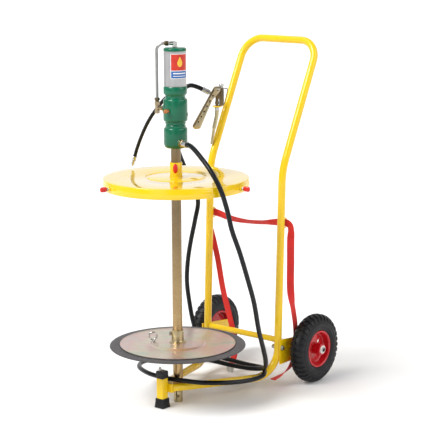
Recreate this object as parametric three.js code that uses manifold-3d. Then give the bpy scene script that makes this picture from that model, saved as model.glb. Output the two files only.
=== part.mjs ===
// Air-operated grease pump kit on a two-wheel drum trolley.
// Millimetres, +Z up. The pump axis is X = Y = 0 and the floor is Z = 0.
// The front leg is towards -Y, the uprights and the wheels towards +Y.
import * as THREE from "three";
import * as BufferGeometryUtils from "three/addons/utils/BufferGeometryUtils.js";
import Module from "manifold-3d";

const wasm = await Module();
wasm.setup();

const GAP = 0.3; // clear space left between two pieces that touch

// Trolley frame
const TUBE_R = 14;
const TUBE_WALL = 2;
const UPRIGHT_X = 170;
const BASE_FRONT = { x: 24, y: -66, z: 70 };
const BASE_REAR = { y: 369, z: 40 };
const KINK = { y: 397, z: 814 };
const HANDLE_TOP = { y: 619, z: 1271 };
const CROSS_BAR_Z = 178;
const LEG = { y: -87, half: 15, bottom: 26, top: 108 };

// Wheels
const WHEEL_R = 130;
const WHEEL_X = 241;
const AXLE = { y: 506, z: WHEEL_R, r: 10 };
const RIM_R = 70;
const TYRE_HALF = 31;
const HUB_END = 38;
const BRACKET_X = UPRIGHT_X + TUBE_R + GAP;
const BRACKET_T = 5;

// Pump: heights of the steps along its axis
const FOOT_TOP = 42;
const LOWER_BODY = 929;
const NECK = 1003;
const MID_BODY = 1024;
const UPPER_NECK = 1105;
const COLLAR = 1123;
const CYLINDER = 1147;
const CAP = 1270;
const CAP_TOP = 1282;
const SUCTION_R = 17.5;
const SUCTION_BORE = 14.5;
const CYLINDER_R = 39.5;
const CYLINDER_BORE = 36;
const ROD_R = 7;

// Drum cover and follower plate
const COVER_R = 260;
const COVER_TOP = 826;
const SKIRT = 36;
const COLLAR_TOP = 879;
const PLATE_Z = 221;
const PLATE_R = 208;
const LIP_R = 245;

// Hoses and strap
const GREASE_HOSE_R = 8.5;
const AIR_HOSE_R = 6.5;
const STRAP = { width: 27, thick: 2 };
const LOOP_Z = 616;

// Directions across the floor that the pump's fittings point in
const deg = THREE.MathUtils.degToRad;
const SIDES = [["left", -1], ["right", 1]];
const GUN = { x: -147, y: 427 };
const GUN_TURN = deg(39.4);
const AIR_SIDE = deg(219.4);
const OUTLET_SIDE = deg(-20.6);
const OUTLET_Z = 950;
const RIM_SCREW_ANGLES = [9.4, 129.4, 249.4].map(deg);

const V = (x, y, z) => new THREE.Vector3(x, y, z);
const group = new THREE.Group();
group.name = "grease_pump_trolley";

// ---------------------------------------------------------------- materials

function material(color, roughness, metalness) {
  return new THREE.MeshStandardMaterial({ color, roughness, metalness });
}

const PAINT_YELLOW = material(0xf2c800, 0.3, 0.1);
const PAINT_GREEN = material(0x0b6b45, 0.35, 0.1);
const RED_PAINT = material(0xb4121c, 0.35, 0.1);
const RED_PLASTIC = material(0xc8201c, 0.4, 0);
const RUBBER = material(0x1b1b1d, 0.8, 0);
const LIP_RUBBER = material(0x55555a, 0.75, 0);
const BLACK_PLASTIC = material(0x1c1c24, 0.5, 0);
const WHITE_PLASTIC = material(0xe8e6e0, 0.45, 0);
const ZINC = material(0x9a9a98, 0.35, 0.9);
const YELLOW_ZINC = material(0x7d6a48, 0.35, 0.9);
const ALUMINIUM = material(0xb9b6b2, 0.3, 0.9);
const BRASS = material(0xb49a66, 0.35, 0.9);
const BRONZE = material(0xa5623f, 0.6, 0.7);
const STEEL = material(0x8b8b8a, 0.3, 0.9);
const WEBBING = material(0xcf1820, 0.85, 0);
const LABEL = material(0x3c5f86, 0.4, 0);

function add(name, geometry, mat, parent = group) {
  const mesh = new THREE.Mesh(geometry, mat);
  mesh.name = name;
  parent.add(mesh);
  return mesh;
}

// ------------------------------------------------------------ solid helpers

function toManifold(geometry) {
  const g = geometry.clone();
  g.deleteAttribute("normal");
  g.deleteAttribute("uv");
  const merged = BufferGeometryUtils.mergeVertices(g, 1e-4);
  const mesh = new wasm.Mesh({
    numProp: 3,
    vertProperties: new Float32Array(merged.attributes.position.array),
    triVerts: new Uint32Array(merged.index.array),
  });
  return new wasm.Manifold(mesh);
}

function fromManifold(manifold) {
  const mesh = manifold.getMesh();
  const g = new THREE.BufferGeometry();
  g.setAttribute("position", new THREE.BufferAttribute(new Float32Array(mesh.vertProperties), 3));
  g.setIndex(new THREE.BufferAttribute(new Uint32Array(mesh.triVerts), 1));
  return g;
}

function cut(base, ...tools) {
  let result = toManifold(base);
  for (const tool of tools) result = result.subtract(toManifold(tool));
  return fromManifold(result);
}

function join(...parts) {
  let result = toManifold(parts[0]);
  for (const part of parts.slice(1)) result = result.add(toManifold(part));
  return fromManifold(result);
}

// A solid of revolution about Z from a closed outline of [radius, height] points.
function turned(outline, segments = 32) {
  const closed = outline[0][0] === 0 ? outline : [...outline, outline[0]];
  const points = closed.map(([r, z]) => new THREE.Vector2(r, z));
  return new THREE.LatheGeometry(points, segments).rotateX(Math.PI / 2);
}

// A round bar from z0 to z1 on the Z axis.
function bar(radius, z0, z1, segments = 16) {
  const g = new THREE.CylinderGeometry(radius, radius, z1 - z0, segments);
  return g.rotateX(Math.PI / 2).translate(0, 0, (z0 + z1) / 2);
}

function ring(outer, inner, z0, z1, segments = 24) {
  return turned([[inner, z0], [outer, z0], [outer, z1], [inner, z1]], segments);
}

// Turns a solid built along +Z so that it points along a direction from a start point.
function aim(geometry, from, direction) {
  const turn = new THREE.Quaternion().setFromUnitVectors(V(0, 0, 1), direction.clone().normalize());
  return geometry.applyQuaternion(turn).translate(from.x, from.y, from.z);
}

const alongX = (geometry, x, y, z) => aim(geometry, V(x, y, z), V(1, 0, 0));
const across = (angle) => V(Math.cos(angle), Math.sin(angle), 0);

// A path that an extrusion follows point by point.
class PointPath extends THREE.Curve {
  constructor(points) {
    super();
    this.points = points;
  }
  getPoint(t) {
    const at = Math.min(t, 1) * (this.points.length - 1);
    const i = Math.min(Math.floor(at + 1e-9), this.points.length - 2);
    return this.points[i].clone().lerp(this.points[i + 1], at - i);
  }
  getPointAt(t) {
    return this.getPoint(t);
  }
  getTangentAt(t) {
    const last = this.points.length - 1;
    const i = Math.round(t * last);
    const before = this.points[Math.max(i - 1, 0)];
    const after = this.points[Math.min(i + 1, last)];
    return after.clone().sub(before).normalize();
  }
}

function circle(radius, sides) {
  const points = [];
  for (let i = 0; i < sides; i++) {
    const a = (2 * Math.PI * i) / sides;
    points.push(new THREE.Vector2(radius * Math.cos(a), radius * Math.sin(a)));
  }
  return points;
}

function tube(points, radius, sides = 10, bore = 0) {
  const shape = new THREE.Shape(circle(radius, sides));
  if (bore) shape.holes.push(new THREE.Path(circle(bore, sides)));
  const extrudePath = new PointPath(points);
  return new THREE.ExtrudeGeometry(shape, { extrudePath, steps: points.length - 1 });
}

// Rounds the corners of a route with arcs: each corner is [point, bend radius].
function bent(corners, stepAngle = deg(11)) {
  const out = [corners[0][0]];
  for (let i = 1; i < corners.length - 1; i++) {
    const [corner, radius] = corners[i];
    const to = corners[i - 1][0].clone().sub(corner).normalize();
    const on = corners[i + 1][0].clone().sub(corner).normalize();
    const turn = Math.PI - to.angleTo(on);
    const reach = radius * Math.tan(turn / 2);
    const centre = to.clone().add(on).normalize().multiplyScalar(radius / Math.cos(turn / 2)).add(corner);
    const start = corner.clone().addScaledVector(to, reach).sub(centre);
    const axis = start.clone().cross(corner.clone().addScaledVector(on, reach).sub(centre)).normalize();
    const steps = Math.max(2, Math.ceil(turn / stepAngle));
    for (let k = 0; k <= steps; k++) {
      out.push(start.clone().applyAxisAngle(axis, (turn * k) / steps).add(centre));
    }
  }
  out.push(corners[corners.length - 1][0]);
  return out;
}

// A smooth curve through hand-placed points.
function smooth(points) {
  return new THREE.CatmullRomCurve3(points.map(([x, y, z]) => V(x, y, z)), false, "centripetal");
}

// A hose along a route, with a short first and last step so that its ends meet their ferrules squarely.
function hose(route, steps, radius) {
  const curve = smooth(route);
  const points = curve.getSpacedPoints(steps);
  const short = 8 / curve.getLength();
  points.splice(1, 0, curve.getPointAt(short));
  points.splice(-1, 0, curve.getPointAt(1 - short));
  return tube(points, radius, 8);
}

// Flat webbing along a route. Each entry is a point and the direction its face looks in.
function ribbon(route, steps) {
  const line = smooth(route.map(([point]) => point)).getSpacedPoints(steps);
  const faces = route.map(([, face]) => V(...face));
  const g = new THREE.BoxGeometry(1, 1, 1, steps, 1, 1);
  const at = g.attributes.position;
  for (let i = 0; i < at.count; i++) {
    const k = Math.round((at.getX(i) + 0.5) * steps);
    const s = nearestShare(route, line[k]) * (route.length - 1);
    const j = Math.min(Math.floor(s), faces.length - 2);
    const along = line[Math.min(k + 1, steps)].clone().sub(line[Math.max(k - 1, 0)]).normalize();
    const side = faces[j].clone().lerp(faces[j + 1], s - j).cross(along).normalize();
    const face = along.clone().cross(side);
    const p = line[k].clone();
    p.addScaledVector(side, at.getZ(i) * STRAP.width).addScaledVector(face, -at.getY(i) * STRAP.thick);
    at.setXYZ(i, p.x, p.y, p.z);
  }
  return g;
}

// How far along a route, from 0 to 1, the place nearest to a point is.
function nearestShare(route, point) {
  let best = Infinity;
  let share = 0;
  for (let i = 0; i < route.length - 1; i++) {
    const segment = new THREE.Line3(V(...route[i][0]), V(...route[i + 1][0]));
    const t = segment.closestPointToPointParameter(point, true);
    const distance = segment.at(t, V(0, 0, 0)).distanceTo(point);
    if (distance < best) {
      best = distance;
      share = (i + t) / (route.length - 1);
    }
  }
  return share;
}

// ------------------------------------------------------------ trolley frame

// Depth (Y) of the uprights' centreline at a height below the kink, and above it.
function uprightY(z) {
  return THREE.MathUtils.mapLinear(z, BASE_REAR.z, KINK.z, BASE_REAR.y, KINK.y);
}

function leaningY(z) {
  return THREE.MathUtils.mapLinear(z, KINK.z, HANDLE_TOP.z, KINK.y, HANDLE_TOP.y);
}

function buildFrame() {
  const side = (s) => [
    [V(s * BASE_FRONT.x, BASE_FRONT.y, BASE_FRONT.z), 0],
    [V(s * UPRIGHT_X, BASE_REAR.y, BASE_REAR.z), 100],
    [V(s * UPRIGHT_X, KINK.y, KINK.z), 220],
    [V(s * UPRIGHT_X, HANDLE_TOP.y, HANDLE_TOP.z), 80],
  ];
  const path = bent([...side(-1), ...side(1).reverse()], deg(14));
  const boltZ = 150;
  const boltY = uprightY(boltZ);
  const drill = alongX(bar(5.3, -250, 250, 12), 0, boltY, boltZ);
  const bow = join(
    tube(path, TUBE_R, 12, TUBE_R - TUBE_WALL), frontPlate(), strapLoop(-1), strapLoop(1), gunHolder());
  add("tube_frame", cut(bow, drill), PAINT_YELLOW);

  // The cross bar is coped to the two uprights it is welded to.
  const upright = (s) => tube(
    [V(s * UPRIGHT_X, uprightY(0), 0), V(s * UPRIGHT_X, uprightY(400), 400)], TUBE_R + 2 * GAP, 12);
  const rawBar = alongX(bar(11, -UPRIGHT_X, UPRIGHT_X, 12), 0, uprightY(CROSS_BAR_Z), CROSS_BAR_Z);
  add("cross_bar", cut(rawBar, upright(-1), upright(1)), PAINT_YELLOW);

  for (const [name, s] of SIDES) {
    add(`axle_bracket_${name}`, bracket(s, boltY, boltZ), PAINT_YELLOW);
    add(`bracket_bolt_${name}`, bracketBolt(s, boltY, boltZ), ZINC);
  }
  buildLeg();
}

// The plate behind the leg that closes the two base tubes and joins them.
function frontPlate() {
  const back = LEG.y + LEG.half + GAP;
  return new THREE.BoxGeometry(68, 9, 32).translate(0, back + 4.5, BASE_FRONT.z);
}

// A wire loop welded to the back of an upright, which the strap runs through.
function strapLoop(s) {
  const y = uprightY(LOOP_Z) + TUBE_R - 1;
  return tube(bent([
    [V(s * UPRIGHT_X, y, LOOP_Z + 18), 0], [V(s * UPRIGHT_X, y + 21, LOOP_Z + 18), 10],
    [V(s * UPRIGHT_X, y + 21, LOOP_Z - 18), 10], [V(s * UPRIGHT_X, y, LOOP_Z - 18), 0],
  ], deg(45)), 2.5, 6);
}

// A wire ring on an arm welded to the left leaning tube; the hand gun's valve stands on it.
function gunHolder() {
  const at = V(-12, 0, 1026 - GAP - 2.5);
  const hoopR = 15;
  const hoop = placeGun(new THREE.TorusGeometry(hoopR, 2.5, 6, 16).translate(at.x, 0, at.z));
  const start = at.applyAxisAngle(V(0, 0, 1), GUN_TURN).add(V(GUN.x, GUN.y + hoopR - 1, 0));
  const reach = V(-UPRIGHT_X, leaningY(start.z), start.z).sub(start);
  return join(hoop, aim(bar(2.5, 0, reach.length() - TUBE_R + 1.5, 8), start, reach));
}

function bracket(s, boltY, boltZ) {
  const front = uprightY(CROSS_BAR_Z) - TUBE_R + 2;
  const end = 40;
  const shape = new THREE.Shape();
  shape.moveTo(front, boltZ - 62);
  shape.lineTo(AXLE.y - 10, AXLE.z - end);
  shape.absarc(AXLE.y, AXLE.z, end, deg(-75), deg(75), false);
  shape.lineTo(front, boltZ + 34);
  const holes = [[AXLE.y, AXLE.z, AXLE.r + GAP], [boltY, boltZ, 5.3]];
  for (const [y, z, r] of holes) {
    shape.holes.push(new THREE.Path(circle(r, 16).map((p) => p.add(new THREE.Vector2(y, z)))));
  }
  // The outline is drawn in Y and Z, so it is turned to stand across X.
  const g = new THREE.ExtrudeGeometry(shape, { depth: BRACKET_T, bevelEnabled: false, curveSegments: 8 });
  g.applyMatrix4(new THREE.Matrix4().makeBasis(V(0, 1, 0), V(0, 0, 1), V(1, 0, 0)));
  return g.translate(s > 0 ? BRACKET_X : -BRACKET_X - BRACKET_T, 0, 0);
}

function bracketBolt(s, y, z) {
  const outer = BRACKET_X + BRACKET_T + GAP;
  const inner = UPRIGHT_X - TUBE_R - GAP;
  const shank = bar(5, inner - 12, outer + 1, 10);
  const head = bar(8.5, outer, outer + 7, 6);
  const nut = bar(8.5, inner - 9, inner, 6);
  return aim(join(shank, head, nut), V(0, y, z), V(s, 0, 0));
}

function buildLeg() {
  const h = LEG.half;
  const wall = 2;
  const outer = new THREE.BoxGeometry(2 * h, 2 * h, LEG.top - LEG.bottom);
  outer.translate(0, LEG.y, (LEG.top + LEG.bottom) / 2);
  const bore = new THREE.BoxGeometry(2 * (h - wall), 2 * (h - wall), 200).translate(0, LEG.y, 100);
  add("front_leg", cut(outer, bore), PAINT_YELLOW);

  const square = (half, z0, z1) =>
    new THREE.BoxGeometry(2 * half, 2 * half, z1 - z0).translate(0, LEG.y, (z0 + z1) / 2);
  const head = square(16.5, LEG.top + GAP, LEG.top + 27);
  const plug = join(head, square(h - wall - GAP, LEG.top - 18, LEG.top + 5));
  const bolt = bar(6.5, LEG.top + 26, LEG.top + 40, 6).translate(-6, LEG.y - 4, 0);
  add("leg_top_plug", join(plug, bolt), BLACK_PLASTIC);

  // The rubber foot is a flared boot pushed over the leg's lower end.
  const boot = new THREE.CylinderGeometry(18.5 * Math.SQRT2, 21 * Math.SQRT2, 34, 4);
  boot.rotateY(Math.PI / 4).rotateX(Math.PI / 2).translate(0, LEG.y, 17);
  const socket = square(h + GAP, LEG.bottom - GAP, 60);
  add("rubber_foot", cut(boot, socket), RUBBER);
}

// ------------------------------------------------------------------- wheels

function buildWheel(name, s) {
  const wheel = new THREE.Group();
  wheel.position.set(s * WHEEL_X, AXLE.y, AXLE.z);
  wheel.rotation.y = (s * Math.PI) / 2;
  group.add(wheel);

  const w = TYRE_HALF;
  const tyre = [
    [RIM_R + 0.5, w - 4], [RIM_R + 8, w], [104, w], [122, w - 7], [WHEEL_R, 8], [WHEEL_R, -8],
    [122, 7 - w], [104, -w], [RIM_R + 8, -w], [RIM_R + 0.5, 4 - w], [RIM_R + 0.5, 10 - w],
    [116, 12 - w], [116, w - 12], [RIM_R + 0.5, w - 10],
  ];
  add(`tyre_${name}`, turned(tyre.reverse(), 32), RUBBER, wheel);

  // The rim is a drum with a web set in from its outer edge and a hub through it.
  const lip = w - 4.5;
  const rim = [
    [15.3, -26], [21, -26], [21, -3], [54, -5], [60, -lip], [RIM_R, -lip], [RIM_R, 2 - lip], [63, 4 - lip],
    [63, lip - 4], [RIM_R, lip - 2], [RIM_R, lip], [60, lip], [54, 1], [21, 1], [21, HUB_END],
    [15.3, HUB_END],
  ];
  add(`rim_${name}`, turned(rim, 24), RED_PAINT, wheel);
  add(`hub_bush_${name}`, ring(15, AXLE.r + GAP, -26, HUB_END + 0.5, 20), WHITE_PLASTIC, wheel);

  const washer = ring(15, AXLE.r + GAP, WHEEL_X + HUB_END + 1, WHEEL_X + HUB_END + 3.5, 20);
  add(`axle_washer_${name}`, aim(washer, V(0, AXLE.y, AXLE.z), V(s, 0, 0)), WHITE_PLASTIC);
}

function buildAxle() {
  const end = WHEEL_X + HUB_END + 7;
  add("axle", alongX(ring(AXLE.r, AXLE.r - 3, -end, end, 20), 0, AXLE.y, AXLE.z), STEEL);
  for (const [name, s] of SIDES) buildWheel(name, s);
}

// --------------------------------------------------------------------- pump

function buildPumpHousing() {
  const tubeEnd = LOWER_BODY + 20;
  add("suction_tube", ring(SUCTION_R, SUCTION_BORE, FOOT_TOP + GAP, tubeEnd, 24), YELLOW_ZINC);

  // The foot is plugged below and takes grease in through a cross hole.
  const foot = turned([[0, 0], [15, 0], [16, 1.5], [16, 24], [15.5, FOOT_TOP], [0, FOOT_TOP]], 24);
  const crossHole = bar(5, -30, 30, 12).rotateY(Math.PI / 2).rotateZ(deg(-50)).translate(0, 0, 27);
  const seat = bar(9, 20, 60, 16);
  add("foot_valve_body", cut(foot, crossHole, seat), YELLOW_ZINC);

  const lower = turned([
    [SUCTION_R + GAP, LOWER_BODY], [30, LOWER_BODY], [38, LOWER_BODY + 4], [41.5, LOWER_BODY + 14],
    [41.5, NECK - 6], [36, NECK], [36, NECK + 6], [33.5, NECK + 8], [36, NECK + 12], [36, MID_BODY - GAP],
    [ROD_R + GAP, MID_BODY - GAP], [ROD_R + GAP, tubeEnd + GAP], [SUCTION_R + GAP, tubeEnd + GAP],
  ], 28);
  const outletSeat = aim(bar(14, 36 - GAP, 60, 16), V(0, 0, OUTLET_Z), across(OUTLET_SIDE));
  add("lower_body", cut(lower, outletSeat), PAINT_GREEN);

  const upper = turned([
    [ROD_R + GAP, MID_BODY], [39, MID_BODY], [42.5, MID_BODY + 4], [42.5, UPPER_NECK - 4], [35, UPPER_NECK],
    [35, UPPER_NECK + 10], [41.5, COLLAR], [41.5, CYLINDER - GAP],
    [ROD_R + GAP, CYLINDER - GAP],
  ], 28);
  add("air_valve_body", upper, PAINT_GREEN);

  add("air_cylinder", ring(CYLINDER_R, CYLINDER_BORE, CYLINDER, CAP - GAP, 32), ALUMINIUM);
  const cap = [[0, CAP], [40, CAP], [40, CAP + 8], [36, CAP_TOP], [0, CAP_TOP]];
  add("cylinder_cap", turned(cap, 32), PAINT_GREEN);

  // The label is a curved skin on the side that faces the operator.
  const skin = new THREE.Shape();
  const spread = deg(48);
  const facing = deg(-24);
  skin.absarc(0, 0, CYLINDER_R + 0.9, facing - spread, facing + spread, false);
  skin.absarc(0, 0, CYLINDER_R + 0.3, facing + spread, facing - spread, true);
  const label = new THREE.ExtrudeGeometry(skin, { depth: 86, bevelEnabled: false, curveSegments: 12 });
  add("cylinder_label", label.translate(0, 0, 1176), LABEL);
}

function buildMovingRod() {
  add("piston_rod", bar(ROD_R, 118, 1206, 12), STEEL);
  const body = turned([
    [0, 1206 + GAP], [CYLINDER_BORE - 0.5, 1206 + GAP], [CYLINDER_BORE - 0.5, 1212], [32, 1212], [32, 1218],
    [CYLINDER_BORE - 0.5, 1218], [CYLINDER_BORE - 0.5, 1224], [0, 1224],
  ], 32);
  add("air_piston", body, ALUMINIUM);
  add("piston_seal", ring(CYLINDER_BORE - GAP, 32 + GAP, 1212 + GAP, 1218 - GAP, 32), RUBBER);
  const plunger = [[0, 92], [11, 92], [SUCTION_BORE - 0.4, 96], [SUCTION_BORE - 0.4, 117.5], [0, 117.5]];
  add("grease_plunger", turned(plunger, 20), STEEL);
  add("foot_check_ball", new THREE.SphereGeometry(7, 12, 8).translate(0, 0, 27.5), STEEL);
}

// The air line leaves the cap, turns down beside the cylinder and enters the inlet block.
function buildAirSide() {
  const out = across(AIR_SIDE);
  const reach = 63.6;
  const topZ = 1296;
  const elbow = join(
    bar(9, CAP_TOP + GAP, topZ + 6, 6),
    aim(bar(7, 0, 20, 12), V(0, 0, topZ), out),
  );
  add("cap_elbow", elbow, ZINC);

  const nutAt = out.clone().multiplyScalar(21).setZ(topZ);
  const topNut = aim(bar(9, 0, 17, 6), nutAt, out);
  const side = out.clone().multiplyScalar(reach);
  const lowNut = bar(9.5, 1094, 1107, 6).translate(side.x, side.y, 0);
  const from = out.clone().multiplyScalar(21 + GAP).setZ(topZ);
  const corner = side.clone().setZ(topZ);
  const end = side.clone().setZ(1096);
  const line = tube(bent([[from, 0], [corner, 26], [end, 0]]), 5, 10);
  add("air_line", join(line, topNut, lowNut), ZINC);

  // Inlet block: a post under the line and a stub into the valve body, drawn clear of its wall.
  const stub = aim(bar(8, 43, 60, 12), V(0, 0, 1070), out);
  const post = bar(9.5, 1052, 1093.5, 8).translate(side.x, side.y, 0);
  add("air_inlet_block", join(post, stub), BRASS);

  const away = across(AIR_SIDE + deg(56));
  add("exhaust_silencer", aim(join(bar(6, 43, 50, 6), bar(7.5, 49, 66, 12)), V(0, 0, 1064), away), BRONZE);
}

function buildOutlet() {
  const out = across(OUTLET_SIDE);
  const at = V(0, 0, OUTLET_Z);
  const body = turned([[0, 36], [13.5, 36], [13.5, 44], [11, 45], [11, 52], [0, 52]], 16);
  const nut = bar(14, 44, 56, 6);
  add("outlet_swivel", aim(join(body, nut), at, out), ZINC);
}

// -------------------------------------------------------------- drum cover

function buildCover() {
  const t = 1.5;
  const z = COVER_TOP;
  const bore = SUCTION_R + 1;
  const sheet = [
    [bore, z], [98, z], [102, z - 3], [108, z - 3], [112, z], [COVER_R - 6, z], [COVER_R - 1, z - 2],
    [COVER_R - 1, z - 10], [COVER_R, z - 12], [COVER_R, z - SKIRT], [COVER_R - t, z - SKIRT],
    [COVER_R - t - 2, z - 2 - t], [COVER_R - 7, z - t], [113, z - t], [109, z - 3 - t], [101, z - 3 - t],
    [97, z - t], [bore, z - t],
  ];
  const atScrew = V(0, 0, z - 20);
  const skirtHoles = RIM_SCREW_ANGLES.map((a) => aim(bar(4.3, 240, 280, 10), atScrew, across(a)));
  const weldNuts = RIM_SCREW_ANGLES.map((a) => aim(bar(9, COVER_R - 1, COVER_R + 7, 6), atScrew, across(a)));
  add("cover_disc", cut(join(turned(sheet.reverse(), 36), ...weldNuts), ...skirtHoles), PAINT_YELLOW);

  const facing = deg(-52);
  const collar = ring(22, SUCTION_R + 0.6, COVER_TOP + GAP, COLLAR_TOP, 28);
  const tapped = aim(bar(4.3, 10, 30, 10), V(0, 0, 862), across(facing));
  add("cover_collar", cut(collar, tapped), PAINT_YELLOW);
  buildHandScrew("collar_screw", facing, 862, SUCTION_R + 0.6, 34, 17, 18);

  RIM_SCREW_ANGLES.forEach((angle, i) => {
    buildHandScrew(`rim_screw_${i + 1}`, angle, COVER_TOP - 20, COVER_R - 12, COVER_R + 12, 9, 25);
  });
}

// A radial screw with a flattened plastic hand grip, upright at rest, moulded onto its outer end.
function buildHandScrew(name, angle, z, from, gripAt, gripR, gripLength) {
  const end = gripAt + gripLength;
  const grip = turned([
    [0, gripAt], [gripR * 0.6, gripAt], [gripR, gripAt + 4], [gripR, end - 5], [gripR * 0.7, end - 1],
    [0, end],
  ], 12);
  const screw = join(bar(4, from, gripAt + 2, 10), grip.scale(1, 0.5, 1).rotateZ(angle));
  add(name, aim(screw, V(0, 0, z), across(angle)), RED_PLASTIC);
}

// ----------------------------------------------------------- follower plate

function buildFollower() {
  const z = PLATE_Z;
  const t = 2;
  const bore = SUCTION_R + 1;
  const disc = [
    [bore, z + 2], [96, z + 2], [103, z - 3], [PLATE_R - 6, z - 3], [PLATE_R, z - 1],
    [PLATE_R, z - 1 - t], [PLATE_R - 6, z - 3 - t], [102, z - 3 - t], [95, z + 2 - t], [bore, z + 2 - t],
  ];
  add("follower_disc", turned(disc.reverse(), 36), YELLOW_ZINC);

  // The rubber wiper is clamped under the disc and droops a little past its edge.
  const top = z - 3 - t - GAP;
  const lip = [
    [150, top], [PLATE_R + 1, top], [LIP_R - 2, top - 1], [LIP_R, top - 3], [LIP_R - 2, top - 4.5],
    [PLATE_R, top - 4], [150, top - 4],
  ];
  add("follower_lip", turned(lip.reverse(), 36), LIP_RUBBER);

  const hub = turned([
    [SUCTION_R + 0.6, z + 2 + GAP], [30, z + 2 + GAP], [30, z + 5], [22, z + 7], [22, z + 46], [20, z + 49],
    [SUCTION_R + 0.6, z + 49],
  ], 28);
  const facing = deg(-132);
  const tapped = aim(bar(4.3, 10, 32, 10), V(0, 0, z + 34), across(facing));
  add("follower_hub", cut(hub, tapped), YELLOW_ZINC);
  const screw = join(bar(4, SUCTION_R + 0.6, 29, 10), bar(7, 25, 31, 6));
  add("hub_set_screw", aim(screw, V(0, 0, z + 34), across(facing)), ZINC);

  // Lifting eye: an upright ring on a short threaded foot.
  const eye = new THREE.TorusGeometry(14, 3.5, 6, 16).rotateX(Math.PI / 2).rotateZ(deg(39));
  const foot = bar(6, 0, 8, 10);
  add("lifting_eye", join(eye.translate(0, 0, 20), foot).translate(-73, -52, z + 2 + GAP), ZINC);
}

// ------------------------------------------------------------- hand gun

// Gun pieces are drawn in the plane of its lever (X across, Z up) and turned into place.
function placeGun(geometry) {
  return geometry.rotateZ(GUN_TURN).translate(GUN.x, GUN.y, 0);
}

function plate(points, thickness) {
  const shape = new THREE.Shape(points.map(([x, z]) => new THREE.Vector2(x, z)));
  const g = new THREE.ExtrudeGeometry(shape, { depth: thickness, bevelEnabled: false });
  return g.rotateX(Math.PI / 2).translate(0, thickness / 2, 0);
}

function buildGun() {
  const valve = bar(9, 1026, 1094, 14).translate(5, 0, 0);
  const block = plate([[-17, 1056], [5, 1050], [5, 1080], [-8, 1084], [-17, 1074]], 14);
  const inlet = bar(6, 4, 28, 12).rotateX(-Math.PI / 2).translate(6, 0, 1052);
  const outlet = bar(6, 1022, 1060, 10).translate(-12, 0, 0);
  const pivot = [-6, 1090];
  const pinHole = bar(3.3, -20, 20, 10).rotateX(Math.PI / 2).translate(pivot[0], 0, pivot[1]);
  const ear = plate([[-10, 1080], [-1, 1080], [-1, 1093], [-10, 1093]], 8);
  add("gun_body", placeGun(cut(join(valve, block, inlet, outlet, ear), pinHole)), YELLOW_ZINC);
  const knob = join(bar(6, 1094 + GAP, 1100, 10), bar(10, 1099, 1110, 8));
  add("gun_cap", placeGun(knob.translate(5, 0, 0)), ZINC);

  // The lever is a channel whose two cheeks straddle the valve at the pivot.
  const leverOutline = [
    [pivot[0] + 7, pivot[1] + 7], [-16, 1098], [-26, 1091], [-105, 950], [-96, 938], [-78, 940], [-73, 947],
    [-30, 1046], [pivot[0] + 7, pivot[1] - 7],
  ];
  const slot = plate([[20, 1110], [-11, 1094], [-89, 950], [-60, 930], [30, 1020]], 20);
  add("gun_lever", placeGun(cut(plate(leverOutline, 24), slot, pinHole)), YELLOW_ZINC);
  const pin = bar(3, -14, 14, 10).rotateX(Math.PI / 2).translate(pivot[0], 0, pivot[1]);
  add("lever_pin", placeGun(pin), ZINC);

  const strip = [[15, 1091], [31, 1094], [20, 1040], [14.5, 1032], [14.5, 1034.5], [18, 1041], [28, 1091.5],
    [15, 1088.5]];
  add("gun_guard", placeGun(plate(strip, 12)), BLACK_PLASTIC);

  // The rigid extension hangs from a hex nipple and narrows to the coupler end.
  const nipple = bar(9, 1008, 1021.7, 6).translate(-12, 0, 0);
  const wide = tube(bent([[V(-12, 0, 1009), 0], [V(-14, 0, 985), 60], [V(-24, 0, 940), 0]]), 7.5, 10);
  const narrow = tube([V(-23.8, 0, 941), V(-33, 0, 880)], 5.5, 10);
  add("gun_extension", placeGun(join(nipple, wide, narrow)), YELLOW_ZINC);
}

// ------------------------------------------------------------ hoses, strap

// Grease hose: out of the pump, down past the cover, one and a half turns over
// the base tubes, up behind the follower plate and over into the gun.
const GREASE_HOSE_ROUTE = [
  [79.3, -29.8, 950], [97, -36.5, 949.5], [125, -48, 941], [172, -64, 916], [222, -78, 881], [264, -78, 824],
  [279, -60, 752], [291, -48, 678], [303, -22, 600], [306, 18, 500], [301, 60, 408], [280, 116, 288],
  [247, 188, 190], [216, 240, 128], [186, 272, 98], [150, 287, 83], [100, 290, 74], [30, 291, 70],
  [-40, 291, 70], [-100, 287, 71], [-152, 262, 74], [-200, 218, 77], [-234, 162, 80], [-246, 108, 83],
  [-234, 58, 86], [-200, 12, 89], [-150, -20, 91.5], [-100, -38, 92.5], [-50, -43, 93], [-4, -40, 93],
  [40, -26, 92], [101, 3, 89], [154, 52, 86], [190, 118, 81], [204, 186, 77], [198, 244, 75],
  [176, 286, 77], [144, 314, 78], [108, 329, 74], [50, 339, 69], [-20, 346, 68], [-84, 347, 71],
  [-132, 337, 92], [-160, 318, 134], [-178, 302, 190], [-201, 300, 287], [-211, 300, 364],
  [-205, 300, 443], [-189, 300, 523], [-172, 305, 603], [-174, 325, 672], [-222, 345, 742],
  [-268, 352, 800], [-296, 352, 860], [-303, 350, 920], [-304, 350, 980], [-298, 352, 1040],
  [-281, 362, 1080], [-256, 379.5, 1099], [-231.5, 397.6, 1092.6],
];
const GUN_HOSE_END = [-217, 408.3, 1084];

// Air whip hose: from the back of the valve body down to the cover's rear edge.
const AIR_HOSE_ROUTE = [
  [-47.2, 35.4, 1112], [-58, 42, 1111.5], [-86, 45, 1094], [-118, 43, 1062], [-147.6, 41, 1028],
  [-172, 40, 994], [-192, 41, 962], [-210, 42.5, 930], [-224, 43.5, 902], [-233, 44, 880],
];
const AIR_HOSE_END = [-236, 44, 872];

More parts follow.
